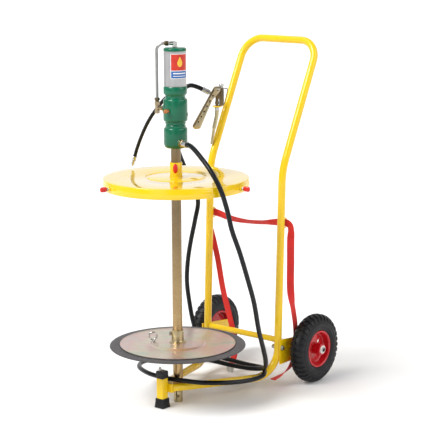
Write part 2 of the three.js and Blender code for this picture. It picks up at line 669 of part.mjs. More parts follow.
function buildHoses() {
  const route = [...GREASE_HOSE_ROUTE, GUN_HOSE_END];
  add("grease_hose", hose(route, 74, GREASE_HOSE_R), RUBBER);
  const from = V(...GUN_HOSE_END);
  const inward = V(-164.6, 446.9, 1053).sub(from);
  const ferruleStart = from.clone().addScaledVector(inward.clone().normalize(), GAP);
  const length = inward.length() - 3;
  const ferrule = turned([[0, 0], [11, 0], [11, 26], [7, 28], [6, length], [0, length]], 12);
  const outletFerrule = aim(bar(11.5, 56.3, 84, 16), V(0, 0, OUTLET_Z), across(OUTLET_SIDE));
  add("outlet_ferrule", outletFerrule, YELLOW_ZINC);
  add("gun_hose_ferrule", aim(ferrule, ferruleStart, inward), ZINC);

  add("air_hose", hose([...AIR_HOSE_ROUTE, AIR_HOSE_END], 22, AIR_HOSE_R), RUBBER);
  const back = V(-44, 33, 0).normalize();
  add("air_hose_tail", aim(join(bar(9, 43, 52, 6), bar(6, 38, 58.5, 12)), V(0, 0, 1112), back), BRASS);
  const down = V(-3, 0, -8).normalize();
  const tip = V(...AIR_HOSE_END).addScaledVector(down, GAP);
  const plug = turned([[0, 0], [8, 0], [8, 18], [5, 20], [5, 26], [6.5, 28], [4, 38], [0, 38]], 12);
  add("air_plug", aim(plug, tip, down), ZINC);
}

// The strap: up from its buckle, through both loops, then down beside the right wheel.
const FACE_BACK = [0, 1, 0];
const FACE_SLANT = [-0.63, 0.77, 0];
const FACE_SIDE = [-1, 0, 0];
const STRAP_ROUTE = [
  [[-72, 400, 34], FACE_BACK], [[-60, 402, 80], FACE_BACK], [[-66, 403, 150], FACE_BACK],
  [[-88, 404, 226], FACE_BACK], [[-120, 407, 319], FACE_BACK], [[-150, 411, 440], FACE_BACK],
  [[-176, 414, 520], FACE_BACK], [[-193, 414.5, 570], FACE_BACK], [[-196, 414.5, 594], FACE_BACK],
  [[-189, 414.5, 610], FACE_BACK], [[-172, 414.5, 617], FACE_BACK], [[-150, 414.5, 615], FACE_BACK],
  [[-82, 415, 602], FACE_BACK], [[5, 415, 600], FACE_BACK], [[77, 415, 606], FACE_BACK],
  [[150, 414.5, 616], FACE_BACK],
  [[180, 414.5, 616], FACE_BACK], [[194, 414, 608], FACE_BACK], [[200, 412, 592], FACE_BACK],
  [[200, 410, 556], FACE_SLANT], [[200, 410, 480], FACE_SLANT], [[200, 411, 366], FACE_SLANT],
  [[199.5, 424, 306], FACE_SIDE], [[199.5, 442, 224], FACE_SIDE], [[199.5, 442, 140], FACE_SIDE],
  [[199, 426, 86], FACE_SIDE], [[196, 396, 62], [-0.7, 0.3, 0.7]], [[191, 356, 47], [-0.2, 0.3, 1]],
  [[188, 318, 40], [0, 0.1, 1]],
];

function buildStrap() {
  add("strap", ribbon(STRAP_ROUTE, 64), WEBBING);
  const frame = new THREE.BoxGeometry(34, 5, 30).translate(-80, 398, 15.5);
  add("strap_buckle", frame, ZINC);
}

buildFrame();
buildAxle();
buildPumpHousing();
buildMovingRod();
buildAirSide();
buildOutlet();
buildCover();
buildFollower();
buildGun();
buildHoses();
buildStrap();

export default group;
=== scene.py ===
"""Looks for the air-operated grease pump on its drum trolley.

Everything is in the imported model's frame: metres, +Z up, the pump's axis at X = Y = 0 and the floor at Z = 0.
Shapes are written in millimetres and scaled once, when their mesh is made.
"""

import math

import bmesh
import bpy
from mathutils import Matrix, Vector


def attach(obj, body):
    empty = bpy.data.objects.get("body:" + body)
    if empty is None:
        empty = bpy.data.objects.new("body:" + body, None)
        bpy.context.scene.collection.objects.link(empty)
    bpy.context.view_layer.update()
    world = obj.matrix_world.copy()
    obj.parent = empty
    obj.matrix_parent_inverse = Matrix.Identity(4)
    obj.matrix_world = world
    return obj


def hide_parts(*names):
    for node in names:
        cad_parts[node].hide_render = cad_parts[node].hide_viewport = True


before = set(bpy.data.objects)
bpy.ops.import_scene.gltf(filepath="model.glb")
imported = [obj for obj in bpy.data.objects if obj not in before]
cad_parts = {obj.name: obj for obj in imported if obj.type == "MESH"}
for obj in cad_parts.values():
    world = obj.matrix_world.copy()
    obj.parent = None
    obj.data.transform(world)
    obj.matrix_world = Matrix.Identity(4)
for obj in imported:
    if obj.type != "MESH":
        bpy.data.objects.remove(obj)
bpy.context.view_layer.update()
MM = 0.001
X, Y, Z = Vector((1, 0, 0)), Vector((0, 1, 0)), Vector((0, 0, 1))
SIDES = (("left", -1), ("right", 1))

# Trolley
TUBE_R = 14
UPRIGHT_X = 170
BASE_FRONT = (24, -66, 70)
BASE_REAR = (369, 40)
KINK = (397, 814)
HANDLE_TOP = (619, 1271)
CROSS_BAR_Z = 178
BOLT_Z = 150
LOOP_Z = 616
LEG_Y = -87

# Wheels
WHEEL_X = 241
AXLE_Y = 506
WHEEL_R = 130
HUB_END = 38

# Pump: the heights of its fittings and the directions they face, in degrees from +X
OUTLET_Z, OUTLET_SIDE = 950, -20.6
AIR_INLET_Z, AIR_SIDE = 1070, 219.4
SILENCER_Z = 1064
AIR_HOSE_Z, AIR_HOSE_SIDE = 1112, 143
BODY_PLUG_Z, BODY_PLUG_SIDE = 976, 160
VALVE_PLUG_Z, VALVE_PLUG_SIDES = 1048, (30, 118)
PARTING_SIDES = (60, 240)

# Cover and plate, which slide on the suction tube with bores of SLIDE_R
SLIDE_R = 18.1
COVER_TOP = 826
RIM_SCREW_ANGLES, RIM_SCREW_Z = (9.4, 129.4, 249.4), 806
COLLAR_SCREW_ANGLE, COLLAR_SCREW_Z = -52, 862
PLATE_Z = 221
SET_SCREW_ANGLE, SET_SCREW_Z = -132, 255

# Hand gun: its foot point and the turn of its lever's plane, then three places in that plane. The hose
# goes in at GUN_INLET, which is a place in the whole model.
GUN_AT = Vector((-147, 427, 0))
GUN_TURN = 39.4
BARREL_AT = Vector((5, 0, 0))
NOZZLE_AT = Vector((-12, 0, 0))
LEVER_PIN = (-6, 1090)
GUN_INLET = Vector((-164.6, 446.9, 1053))


# ------------------------------------------------------------------- camera


def make_camera():
    data = bpy.data.cameras.new("camera")
    data.lens = 126.6
    data.sensor_width = 36
    camera = linked("camera", data)
    camera.location = (3.4934, -4.0205, 1.7296)
    back = Vector((0.6230, -0.7579, 0.1936)).normalized()
    right = Vector((0.7730, 0.6343, -0.0045)).normalized()
    turn = Matrix((right, back.cross(right), back)).transposed()
    camera.rotation_euler = turn.to_euler()
    bpy.context.scene.camera = camera


# ------------------------------------------------------------ shape helpers
# A shape is a pair: a list of points in millimetres and a list of faces.


def across(angle):
    a = math.radians(angle)
    return Vector((math.cos(a), math.sin(a), 0))


def joined(*shapes):
    points, faces = [], []
    for some, others in shapes:
        base = len(points)
        points += some
        faces += [tuple(i + base for i in face) for face in others]
    return points, faces


def placed(shape, at=(0, 0, 0), along=Z, roll=0):
    """The shape with its +Z turned to point along a direction, then moved."""
    turn = Z.rotation_difference(Vector(along).normalized()).to_matrix()
    turn = turn @ Matrix.Rotation(math.radians(roll), 3, "Z")
    return [turn @ Vector(p) + Vector(at) for p in shape[0]], shape[1]


def lathe(outline, segments=72, squeeze=1.0):
    """Turns an outline of (radius, height) about Z. It closes on itself unless it starts on the axis."""
    open_ended = outline[0][0] == 0
    points, rings = [], []
    for r, z in outline:
        count = 1 if r == 0 else segments
        rings.append([len(points) + i % count for i in range(segments)])
        for i in range(count):
            a = 2 * math.pi * i / segments
            points.append(Vector((r * math.cos(a), squeeze * r * math.sin(a), z)))
    pairs = list(zip(rings, rings[1:]))
    if not open_ended:
        pairs.append((rings[-1], rings[0]))
    faces = []
    for low, high in pairs:
        for i in range(segments):
            j = (i + 1) % segments
            corners = [low[i], low[j], high[j], high[i]]
            face = tuple(dict.fromkeys(corners))
            if len(face) > 2:
                faces.append(face)
    return points, faces


def rod(radius, z0, z1, chamfer=0.0, segments=32):
    c = chamfer
    ends = [(0, z0), (radius - c, z0), (radius, z0 + c), (radius, z1 - c), (radius - c, z1), (0, z1)]
    return lathe(ends if c else [ends[0], ends[1], ends[4], ends[5]], segments)


def hexagon(radius, z0, z1, hole=0):
    """A hexagonal nut or head with chamfered corners, with a round hole if it is a nut."""
    c = radius * 0.1
    outline = [(hole, z0), (radius - c, z0), (radius, z0 + c), (radius, z1 - c), (radius - c, z1), (hole, z1)]
    return lathe(outline, 6)


def torus(major, minor, segments=64, sides=16, ripple=0.0, ripples=0):
    points = []
    for i in range(segments):
        a = 2 * math.pi * i / segments
        r = minor * (1 + ripple * math.sin(ripples * a))
        for k in range(sides):
            b = 2 * math.pi * k / sides
            reach = major + r * math.cos(b)
            points.append(Vector((reach * math.cos(a), reach * math.sin(a), r * math.sin(b))))
    return points, ring_faces(segments, sides)


def circle(radius, sides):
    turns = [2 * math.pi * i / sides for i in range(sides)]
    return [(radius * math.cos(a), radius * math.sin(a)) for a in turns]


def rounded_rectangle(half_x, half_y, radius, steps=4):
    out = []
    for k, (sx, sy) in enumerate([(1, 1), (-1, 1), (-1, -1), (1, -1)]):
        for i in range(steps + 1):
            a = math.radians(90 * k + 90 * i / steps)
            x = sx * (half_x - radius) + radius * math.cos(a)
            out.append((x, sy * (half_y - radius) + radius * math.sin(a)))
    return out


def walls(count, rings):
    """The faces round a row of rings of equal point count."""
    faces = []
    for s in range(rings - 1):
        for i in range(count):
            j = (i + 1) % count
            faces.append((s * count + i, s * count + j, (s + 1) * count + j, (s + 1) * count + i))
    return faces


def end_caps(count, rings):
    return [tuple(reversed(range(count))), tuple(range((rings - 1) * count, rings * count))]


def tube_faces(count, rings):
    first, last = end_caps(count, rings)
    return [first, *walls(count, rings), last]


def ring_faces(segments, sides):
    """The faces over a ring of sections that closes on itself."""
    faces = []
    for i in range(segments):
        for k in range(sides):
            n, m = (i + 1) % segments, (k + 1) % sides
            faces.append((i * sides + k, n * sides + k, n * sides + m, i * sides + m))
    return faces


def loft(sections):
    """Joins closed outlines of equal point count, each an (outline, height) pair, and caps both ends."""
    points = [Vector((x, y, z)) for outline, z in sections for x, y in outline]
    return points, tube_faces(len(sections[0][0]), len(sections))


def frames_along(path, first_side=None):
    """A side and an up direction at every point of a path, carried along without twist."""
    tangents = []
    for i in range(len(path)):
        step = path[min(i + 1, len(path) - 1)] - path[max(i - 1, 0)]
        tangents.append(step.normalized())
    side = first_side or tangents[0].orthogonal()
    frames = []
    for tangent in tangents:
        side = (side - tangent * side.dot(tangent)).normalized()
        frames.append((side, tangent.cross(side)))
    return frames


def sweep(path, outline, first_side=None):
    path = [Vector(p) for p in path]
    points = []
    for centre, (side, up) in zip(path, frames_along(path, first_side)):
        points += [centre + side * x + up * y for x, y in outline]
    return points, tube_faces(len(outline), len(path))


def bent(corners, step_angle=5):
    """A route with rounded corners: each corner is (point, bend radius)."""
    out = [Vector(corners[0][0])]
    for i in range(1, len(corners) - 1):
        corner, radius = Vector(corners[i][0]), corners[i][1]
        to = (Vector(corners[i - 1][0]) - corner).normalized()
        on = (Vector(corners[i + 1][0]) - corner).normalized()
        turn = math.pi - to.angle(on)
        reach = radius * math.tan(turn / 2)
        centre = corner + (to + on).normalized() * radius / math.cos(turn / 2)
        start, end = corner + to * reach - centre, corner + on * reach - centre
        axis = start.cross(end).normalized()
        steps = max(3, math.ceil(math.degrees(turn) / step_angle))
        for k in range(steps + 1):
            out.append(Matrix.Rotation(turn * k / steps, 3, axis) @ start + centre)
    out.append(Vector(corners[-1][0]))
    return out


def spline(points, step):
    """A smooth centripetal line through given points, at an even step."""
    p = [Vector(q) for q in points]
    p = [p[0] * 2 - p[1], *p, p[-1] * 2 - p[-2]]
    fine = []
    for a, b, c, d in zip(p, p[1:], p[2:], p[3:]):
        t0, t1, t2 = (max((v - u).length ** 0.5, 1e-4) for u, v in ((a, b), (b, c), (c, d)))
        m1 = ((b - a) / t0 - (c - a) / (t0 + t1) + (c - b) / t1) * t1
        m2 = ((c - b) / t1 - (d - b) / (t1 + t2) + (d - c) / t2) * t1
        for k in range(24):
            t = k / 24
            cube = (b * 2 - c * 2 + m1 + m2) * t**3
            fine.append(b + m1 * t + (c * 3 - b * 3 - m1 * 2 - m2) * t * t + cube)
    fine.append(p[-2])
    return resampled(fine, step)


def resampled(line, step):
    reach = [0.0]
    for a, b in zip(line, line[1:]):
        reach.append(reach[-1] + (b - a).length)
    count = max(2, round(reach[-1] / step))
    out, k = [], 0
    for i in range(count + 1):
        want = reach[-1] * i / count
        while k < len(line) - 2 and reach[k + 1] < want:
            k += 1
        t = (want - reach[k]) / (reach[k + 1] - reach[k])
        out.append(line[k].lerp(line[k + 1], min(max(t, 0), 1)))
    return out


def linked(name, data):
    obj = bpy.data.objects.new(name, data)
    bpy.context.scene.collection.objects.link(obj)
    return obj


def closed_mesh(name, points, faces, merge_distance):
    mesh = bpy.data.meshes.new(name)
    mesh.from_pydata(points, [], faces)
    bm = bmesh.new()
    bm.from_mesh(mesh)
    bmesh.ops.remove_doubles(bm, verts=bm.verts, dist=merge_distance)
    bmesh.ops.recalc_face_normals(bm, faces=bm.faces)
    bm.to_mesh(mesh)
    bm.free()
    return mesh


def evaluated_shape(obj):
    """An object's shape after its modifiers, or a curve's filled shape."""
    bpy.context.view_layer.update()
    mesh = bpy.data.meshes.new_from_object(obj.evaluated_get(bpy.context.evaluated_depsgraph_get()))
    shape = [v.co.copy() for v in mesh.vertices], [tuple(f.vertices) for f in mesh.polygons]
    bpy.data.meshes.remove(mesh)
    return shape


def plate(outline, thickness, holes=(), bevel=0.4):
    """A flat plate in the XY plane, centred on Z = 0, with round holes of (x, y, radius)."""
    curve = bpy.data.curves.new("outline", "CURVE")
    curve.dimensions = "2D"
    curve.fill_mode = "BOTH"
    curve.extrude = thickness / 2 - bevel
    curve.bevel_depth = bevel
    curve.offset = -bevel
    curve.bevel_resolution = 1
    for ring in [outline, *([(x + u, y + v) for u, v in circle(r, 20)] for x, y, r in holes)]:
        line = curve.splines.new("POLY")
        line.points.add(len(ring) - 1)
        for point, (x, y) in zip(line.points, ring):
            point.co = (x, y, 0, 1)
        line.use_cyclic_u = True
    holder = linked("outline", curve)
    shape = evaluated_shape(holder)
    bpy.data.objects.remove(holder)
    bpy.data.curves.remove(curve)
    return shape


def block(sx, sy, sz, bevel=1.0):
    """A box centred on the origin with rounded edges."""
    bm = bmesh.new()
    bmesh.ops.create_cube(bm, size=1)
    bmesh.ops.scale(bm, vec=(sx, sy, sz), verts=bm.verts)
    bmesh.ops.bevel(bm, geom=list(bm.edges), offset=bevel, segments=3, affect="EDGES", profile=0.5)
    shape = [v.co.copy() for v in bm.verts], [tuple(v.index for v in f.verts) for f in bm.faces]
    bm.free()
    return shape


def helix(radius, z0, z1, pitch, thickness):
    """A screw thread's crest as a thin coil."""
    steps_a_turn = 20
    path = []
    for i in range(int((z1 - z0) / pitch * steps_a_turn) + 1):
        turns = i / steps_a_turn
        a = 2 * math.pi * turns
        path.append(Vector((radius * math.cos(a), radius * math.sin(a), z0 + pitch * turns)))
    return sweep(path, circle(thickness, 4))


def piece(name, shape, material, node=None, body="trolley", sharp=32, bevel=0.0):
    """Makes a shape into an object that rides on a body and may stand for a CAD node."""
    mesh = closed_mesh(name, [Vector(p) * MM for p in shape[0]], shape[1], 1e-6)
    mesh.shade_smooth()
    mesh.set_sharp_from_angle(angle=math.radians(sharp))
    mesh.materials.append(material)
    obj = linked(name, mesh)
    if bevel:
        edge = obj.modifiers.new("edges", "BEVEL")
        edge.width = bevel * MM
        edge.segments = 2
        edge.limit_method = "ANGLE"
        edge.angle_limit = math.radians(sharp)
        edge.harden_normals = True
    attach(obj, body)
    if node:
        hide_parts(node)
    return obj


# ---------------------------------------------------------------- materials


class Nodes:
    """Short ways to add nodes to a shader tree and to link them."""

    def __init__(self, tree, coordinates):
        self.tree = tree
        self.place = self.node("ShaderNodeTexCoord").outputs[coordinates]

    def node(self, kind, **settings):
        made = self.tree.nodes.new(kind)
        for key, value in settings.items():
            setattr(made, key, value)
        return made

    def put(self, value, socket):
        """Links a socket to another node's output, or sets it to a plain value."""
        if isinstance(value, bpy.types.NodeSocket):
            self.tree.links.new(value, socket)
        else:
            socket.default_value = value

    def fill(self, made, **inputs):
        for key, value in inputs.items():
            self.put(value, made.inputs[key.replace("_", " ")])
        return made

    def stretched(self, stretch):
        return self.fill(self.node("ShaderNodeMapping"), Vector=self.place, Scale=stretch).outputs["Vector"]

    def noise(self, scale, detail=3.0, stretch=(1, 1, 1), roughness=0.5):
        made = self.fill(self.node("ShaderNodeTexNoise"), Vector=self.stretched(stretch), Scale=scale)
        return self.fill(made, Detail=detail, Roughness=roughness).outputs["Fac"]

    def cells(self, scale):
        made = self.fill(self.node("ShaderNodeTexVoronoi"), Vector=self.place, Scale=scale)
        return made.outputs["Distance"]

    def ramp(self, value, *stops):
        """A colour ramp with stops of (position, colour), where a single number is a grey."""
        made = self.fill(self.node("ShaderNodeValToRGB"), Fac=value)
        elements = made.color_ramp.elements
        for _ in stops[2:]:
            elements.new(0.5)
        for element, (position, colour) in zip(elements, stops):
            element.position = position
            rgb = (colour,) * 3 if isinstance(colour, (int, float)) else colour
            element.color = (*rgb, 1)
        return made.outputs["Color"]

    def mix(self, share, low, high, blend="MIX"):
        made = self.node("ShaderNodeMix", data_type="RGBA", blend_type=blend)
        for index, value in ((0, share), (6, low), (7, high)):
            self.put((*value, 1) if isinstance(value, tuple) else value, made.inputs[index])
        return made.outputs[2]

    def sums(self, operation, *values):
        made = self.node("ShaderNodeMath", operation=operation)
        for socket, value in zip(made.inputs, values):
            self.put(value, socket)
        return made.outputs[0]

    def axes(self, source=None):
        return self.fill(self.node("ShaderNodeSeparateXYZ"), Vector=source or self.place).outputs


class Look(Nodes):
    """A Principled material whose colour, roughness and relief are layered in object space."""

    def __init__(self, name, values):
        self.material = bpy.data.materials.new(name)
        self.material.use_nodes = True
        super().__init__(self.material.node_tree, "Object")
        self.shader = self.tree.nodes["Principled BSDF"]
        for socket, value in values.items():
            self.shader.inputs[socket].default_value = value

    def colour(self, value):
        self.tree.links.new(value, self.shader.inputs["Base Color"])

    def roughness(self, value, low, high):
        self.tree.links.new(self.ramp(value, (0.3, low), (0.7, high)), self.shader.inputs["Roughness"])

    def relief(self, height, depth, strength=1.0):
        normal = self.shader.inputs["Normal"]
        under = normal.links[0].from_socket if normal.links else None
        bump = self.fill(self.node("ShaderNodeBump"), Height=height, Distance=depth * MM, Strength=strength)
        if under:
            self.fill(bump, Normal=under)
        self.tree.links.new(bump.outputs["Normal"], normal)


def tinted(rgb, k):
    return tuple(min(1.0, c * k) for c in rgb)


def paint(name, rgb, peel=0.25, smooth=0.24, rough=0.34, skin=0.7):
    """Stoved enamel: slightly uneven colour, fine orange peel and a clear glossy skin."""
    look = Look(name, {"Coat Weight": skin, "Coat Roughness": 0.05, "Specular IOR Level": 0.2})
    cloudy = look.noise(7, 4)
    base = look.ramp(cloudy, (0.3, tinted(rgb, 0.95)), (0.7, tinted(rgb, 1.04)))
    grime = look.ramp(look.noise(30, 6, roughness=0.65), (0.62, 0.0), (0.85, 0.14))
    look.colour(look.mix(grime, base, tinted(rgb, 0.7)))
    look.roughness(look.noise(60, 3), smooth, rough)
    look.relief(look.noise(300, 2), 0.03, peel)
    return look.material


def cast_paint(name, rgb):
    """Enamel over sand castings: the grain of the mould shows through."""
    look = Look(name, {"Coat Weight": 0.6, "Coat Roughness": 0.08, "Specular IOR Level": 0.15})
    base = look.ramp(look.noise(14, 5), (0.3, tinted(rgb, 0.84)), (0.72, tinted(rgb, 1.14)))
    chips = look.ramp(look.noise(95, 5, roughness=0.7), (0.72, 0.0), (0.8, 0.4))
    look.colour(look.mix(chips, base, tinted(rgb, 0.45)))
    look.roughness(look.noise(80, 3), 0.26, 0.4)
    look.relief(look.noise(260, 4), 0.1, 0.4)
    look.relief(look.cells(420), 0.04, 0.3)
    return look.material


def metal(name, rgb, smooth=0.2, rough=0.38, grain=(1, 1, 1), dull=0.75, fine=900, aniso=0.0):
    """Plated or machined metal with fine tool marks along one direction and cloudy patches."""
    look = Look(name, {"Metallic": 1.0, "Anisotropic": aniso})
    cloud = look.noise(30, 5, roughness=0.6)
    look.colour(look.ramp(cloud, (0.3, tinted(rgb, dull)), (0.68, rgb)))
    marks = look.noise(fine, 3, grain)
    look.roughness(look.sums("MULTIPLY_ADD", marks, 0.6, look.sums("MULTIPLY", cloud, 0.4)), smooth, rough)
    look.relief(marks, 0.03, 0.35)
    look.relief(look.noise(190, 3), 0.03, 0.2)
    return look.material


def passivated(name, stops, smooth=0.2, rough=0.36, painted_shade_along_z=None):
    """Yellow-passivated zinc: its film drifts between gold, pink and green. It can also be darkened up the
    tube, which is painted shade under the cover.
    """
    look = Look(name, {"Metallic": 1.0})
    drift = look.noise(11, 4, roughness=0.55)
    film = look.ramp(drift, *stops)
    # Painted shade: the colour is darkened up the tube, towards the cover that shades it from above.
    if painted_shade_along_z:
        height = look.axes()[2]
        share = look.fill(look.node("ShaderNodeMapRange"), Value=height)
        look.fill(share, From_Min=painted_shade_along_z[0] * MM, From_Max=painted_shade_along_z[1] * MM)
        film = look.mix(look.sums("MULTIPLY", share.outputs[0], 0.85), film, painted_shade_along_z[2])
    spots = look.ramp(look.noise(150, 4, roughness=0.7), (0.62, 0.0), (0.75, 0.35))
    look.colour(look.mix(spots, film, tinted(stops[0][1], 0.6)))
    look.roughness(look.noise(45, 5), smooth, rough)
    look.relief(look.noise(700, 3), 0.02, 0.3)
    return look.material


def rubber(name, rgb, smooth=0.45, rough=0.65, grain=500, depth=0.08):
    look = Look(name, {"Sheen Weight": 0.04, "Sheen Roughness": 0.4, "Specular IOR Level": 0.3})
    dust = look.ramp(look.noise(24, 6, roughness=0.65), (0.42, 0.0), (0.8, 0.5))
    look.colour(look.mix(dust, rgb, tuple(c * 1.5 + 0.01 for c in rgb)))
    look.roughness(look.noise(70, 4), smooth, rough)
    look.relief(look.noise(grain, 4), depth, 0.6)
    return look.material


def hose_rubber(name):
    """Extruded rubber cover: satin, with the faint wrap of the curing tape across it."""
    look = Look(name, {"Specular IOR Level": 0.25, "Coat Weight": 0.1, "Coat Roughness": 0.18})
    dust = look.ramp(look.noise(18, 6, roughness=0.6), (0.45, 0.0), (0.8, 0.4))
    look.colour(look.mix(dust, (0.002, 0.003, 0.005), (0.008, 0.009, 0.011)))
    look.roughness(look.noise(60, 3), 0.26, 0.4)
    look.relief(look.noise(340, 4), 0.06, 0.5)
    look.relief(look.noise(1300, 2), 0.03, 0.4)
    return look.material


def plastic(name, rgb, smooth=0.3, rough=0.45):
    """Moulded plastic with a fine spark-eroded skin."""
    look = Look(name, {"IOR": 1.46, "Subsurface Weight": 0.03, "Subsurface Scale": 0.002})
    look.colour(look.ramp(look.noise(20, 3), (0.35, tinted(rgb, 0.9)), (0.65, tinted(rgb, 1.08))))
    look.roughness(look.noise(50, 3), smooth, rough)
    look.relief(look.cells(700), 0.05, 0.3)
    return look.material


def webbing():
    """Woven polyester: chevron ribs along the strap and fine ribs along its length."""
    look = Look("red_webbing", {"Sheen Weight": 0.35, "Sheen Roughness": 0.35,
                                "Sheen Tint": (1, 0.55, 0.5, 1)})
    uv = look.node("ShaderNodeTexCoord").outputs["UV"]
    u, v = look.axes(uv)[:2]
    fold = look.sums("ABSOLUTE", look.sums("SUBTRACT", look.sums("FRACT", look.sums("MULTIPLY", u, 4)), 0.5))
    slant = look.sums("ADD", look.sums("MULTIPLY", v, 520), look.sums("MULTIPLY", fold, 2.5))
    yarn = look.sums("SINE", look.sums("MULTIPLY", slant, 6.283))
    rib = look.sums("SINE", look.sums("MULTIPLY", u, 2 * math.pi * 14))
    weave = look.sums("MULTIPLY_ADD", yarn, 0.5, look.sums("MULTIPLY", rib, 0.35))
    worn = look.noise(40, 5, roughness=0.6)
    base = look.ramp(worn, (0.3, (0.78, 0.016, 0.014)), (0.7, (0.92, 0.032, 0.026)))
    shade = look.ramp(weave, (0.0, 0.74), (0.55, 1.0))
    look.colour(look.mix(0.8, base, shade, "MULTIPLY"))
    look.roughness(worn, 0.6, 0.85)
    look.relief(weave, 0.35, 0.9)
    look.relief(look.noise(2500, 2), 0.05, 0.4)
    return look.material


def label_print():
    """A plain two-panel sticker: warm red with a drop above, blue with pale rules below, white border."""
    look = Look("label_print", {"Coat Weight": 0.3, "Coat Roughness": 0.15, "Specular IOR Level": 0.3})
    u, v = look.axes(look.node("ShaderNodeTexCoord").outputs["UV"])[:2]

    def band(value, low, high):
        above = look.sums("GREATER_THAN", value, low)
        return look.sums("MULTIPLY", above, look.sums("LESS_THAN", value, high))

    def square(value):
        return look.sums("MULTIPLY", value, value)

    white = (0.82, 0.82, 0.80)
    ink = look.noise(60, 3)
    red = look.ramp(ink, (0.3, (0.50, 0.02, 0.01)), (0.7, (0.62, 0.035, 0.015)))
    blue = look.ramp(ink, (0.3, (0.02, 0.10, 0.34)), (0.7, (0.03, 0.14, 0.42)))
    # The drop is a circle whose upper half narrows to a point.
    across_drop = look.sums("SUBTRACT", u, 0.5)
    up_drop = look.sums("SUBTRACT", v, 0.62)
    lower = look.sums("LESS_THAN", look.sums("ADD", square(across_drop), square(up_drop)), 0.020)
    taper = look.sums("MULTIPLY_ADD", up_drop, -0.55, 0.158)
    upper = look.sums("MULTIPLY", look.sums("LESS_THAN", look.sums("ABSOLUTE", across_drop), taper),
                      band(up_drop, 0.02, 0.26))
    drop = look.sums("MAXIMUM", lower, upper)
    rules = look.sums("MAXIMUM", band(v, 0.19, 0.235), band(v, 0.09, 0.115))
    rules = look.sums("MULTIPLY", rules, band(u, 0.14, 0.86))
    panel = look.mix(look.sums("GREATER_THAN", v, 0.32), blue, red)
    panel = look.mix(drop, panel, (0.85, 0.52, 0.05))
    panel = look.mix(rules, panel, white)
    panel = look.mix(band(v, 0.305, 0.33), panel, white)
    inside = look.sums("MULTIPLY", band(u, 0.03, 0.97), band(v, 0.02, 0.98))
    look.colour(look.mix(inside, white, panel))
    look.roughness(ink, 0.3, 0.42)
    look.relief(look.noise(300, 2), 0.02, 0.3)
    return look.material


YELLOW_RGB = (0.86, 0.56, 0.004)
YELLOW = paint("yellow_enamel", YELLOW_RGB)
COVER_YELLOW = paint("cover_enamel", YELLOW_RGB, 0.05, 0.1, 0.16, 1.0)
GREEN = cast_paint("green_casting", (0.001, 0.125, 0.062))
RED = paint("red_enamel", (0.52, 0.006, 0.012))
TYRE = rubber("tyre_rubber", (0.004, 0.004, 0.006), 0.36, 0.6, 380, 0.12)
FOOT_RUBBER = rubber("foot_rubber", (0.007, 0.007, 0.008), 0.4, 0.6)
LIP_RUBBER = rubber("lip_rubber", (0.062, 0.060, 0.066), 0.46, 0.66, 240, 0.1)
HOSE = hose_rubber("hose_cover")
BLACK_PLASTIC = plastic("black_plastic", (0.007, 0.007, 0.010))
RED_PLASTIC = plastic("red_plastic", (0.60, 0.018, 0.012), 0.22, 0.36)
NYLON = plastic("white_nylon", (0.78, 0.77, 0.72), 0.35, 0.5)
ZINC = metal("zinc_plate", (0.62, 0.62, 0.60))
BRIGHT_ZINC = metal("bright_zinc", (0.58, 0.58, 0.57), 0.14, 0.28)
GREY_PIPE = metal("grey_pipe", (0.40, 0.40, 0.39), 0.25, 0.4, (1, 1, 0.1))
STEEL = metal("ground_steel", (0.50, 0.50, 0.51), 0.15, 0.32, (0.05, 1, 1))
ALUMINIUM = metal("drawn_aluminium", (0.50, 0.50, 0.505), 0.24, 0.38, (1, 1, 0.03), 0.88, 1100, 0.4)
BRASS = metal("turned_brass", (0.46, 0.37, 0.24), 0.22, 0.4)
BRONZE = metal("sintered_bronze", (0.62, 0.27, 0.12), 0.5, 0.75, fine=420)
GOLD = (0.50, 0.41, 0.24)
ZINC_FILM = passivated("zinc_film", [(0.3, (0.34, 0.24, 0.12)), (0.5, GOLD), (0.7, (0.46, 0.41, 0.25))])
# The suction tube's colour darkens from z 150 to 700 and above: painted shade under the drum cover.
TUBE_FILM = passivated(
    "tube_film", [(0.3, (0.42, 0.27, 0.12)), (0.7, (0.58, 0.41, 0.20))], 0.22, 0.34,
    painted_shade_along_z=(150, 700, (0.17, 0.13, 0.08)))
PLATE_FILM = passivated("plate_film", [(0.28, (0.44, 0.52, 0.42)), (0.43, (0.62, 0.57, 0.46)),
                                       (0.58, (0.66, 0.50, 0.47)), (0.74, (0.56, 0.55, 0.52))], 0.32, 0.44)
DARK_FILM = passivated("dark_film", [(0.3, (0.10, 0.075, 0.045)), (0.7, (0.24, 0.18, 0.10))], 0.25, 0.45)
LEVER_FILM = passivated("lever_film", [(0.3, (0.40, 0.31, 0.19)), (0.6, (0.60, 0.52, 0.36))], 0.24, 0.4)
# A near-black copy of the zinc film, used as painted shade inside the gun lever's channel.
SHADED_FILM = passivated("shaded_film", [(0.3, (0.03, 0.024, 0.016)), (0.7, (0.06, 0.045, 0.03))], 0.4, 0.6)
WEBBING = webbing()
LABEL = label_print()


# -------------------------------------------------------------- hoses, strap

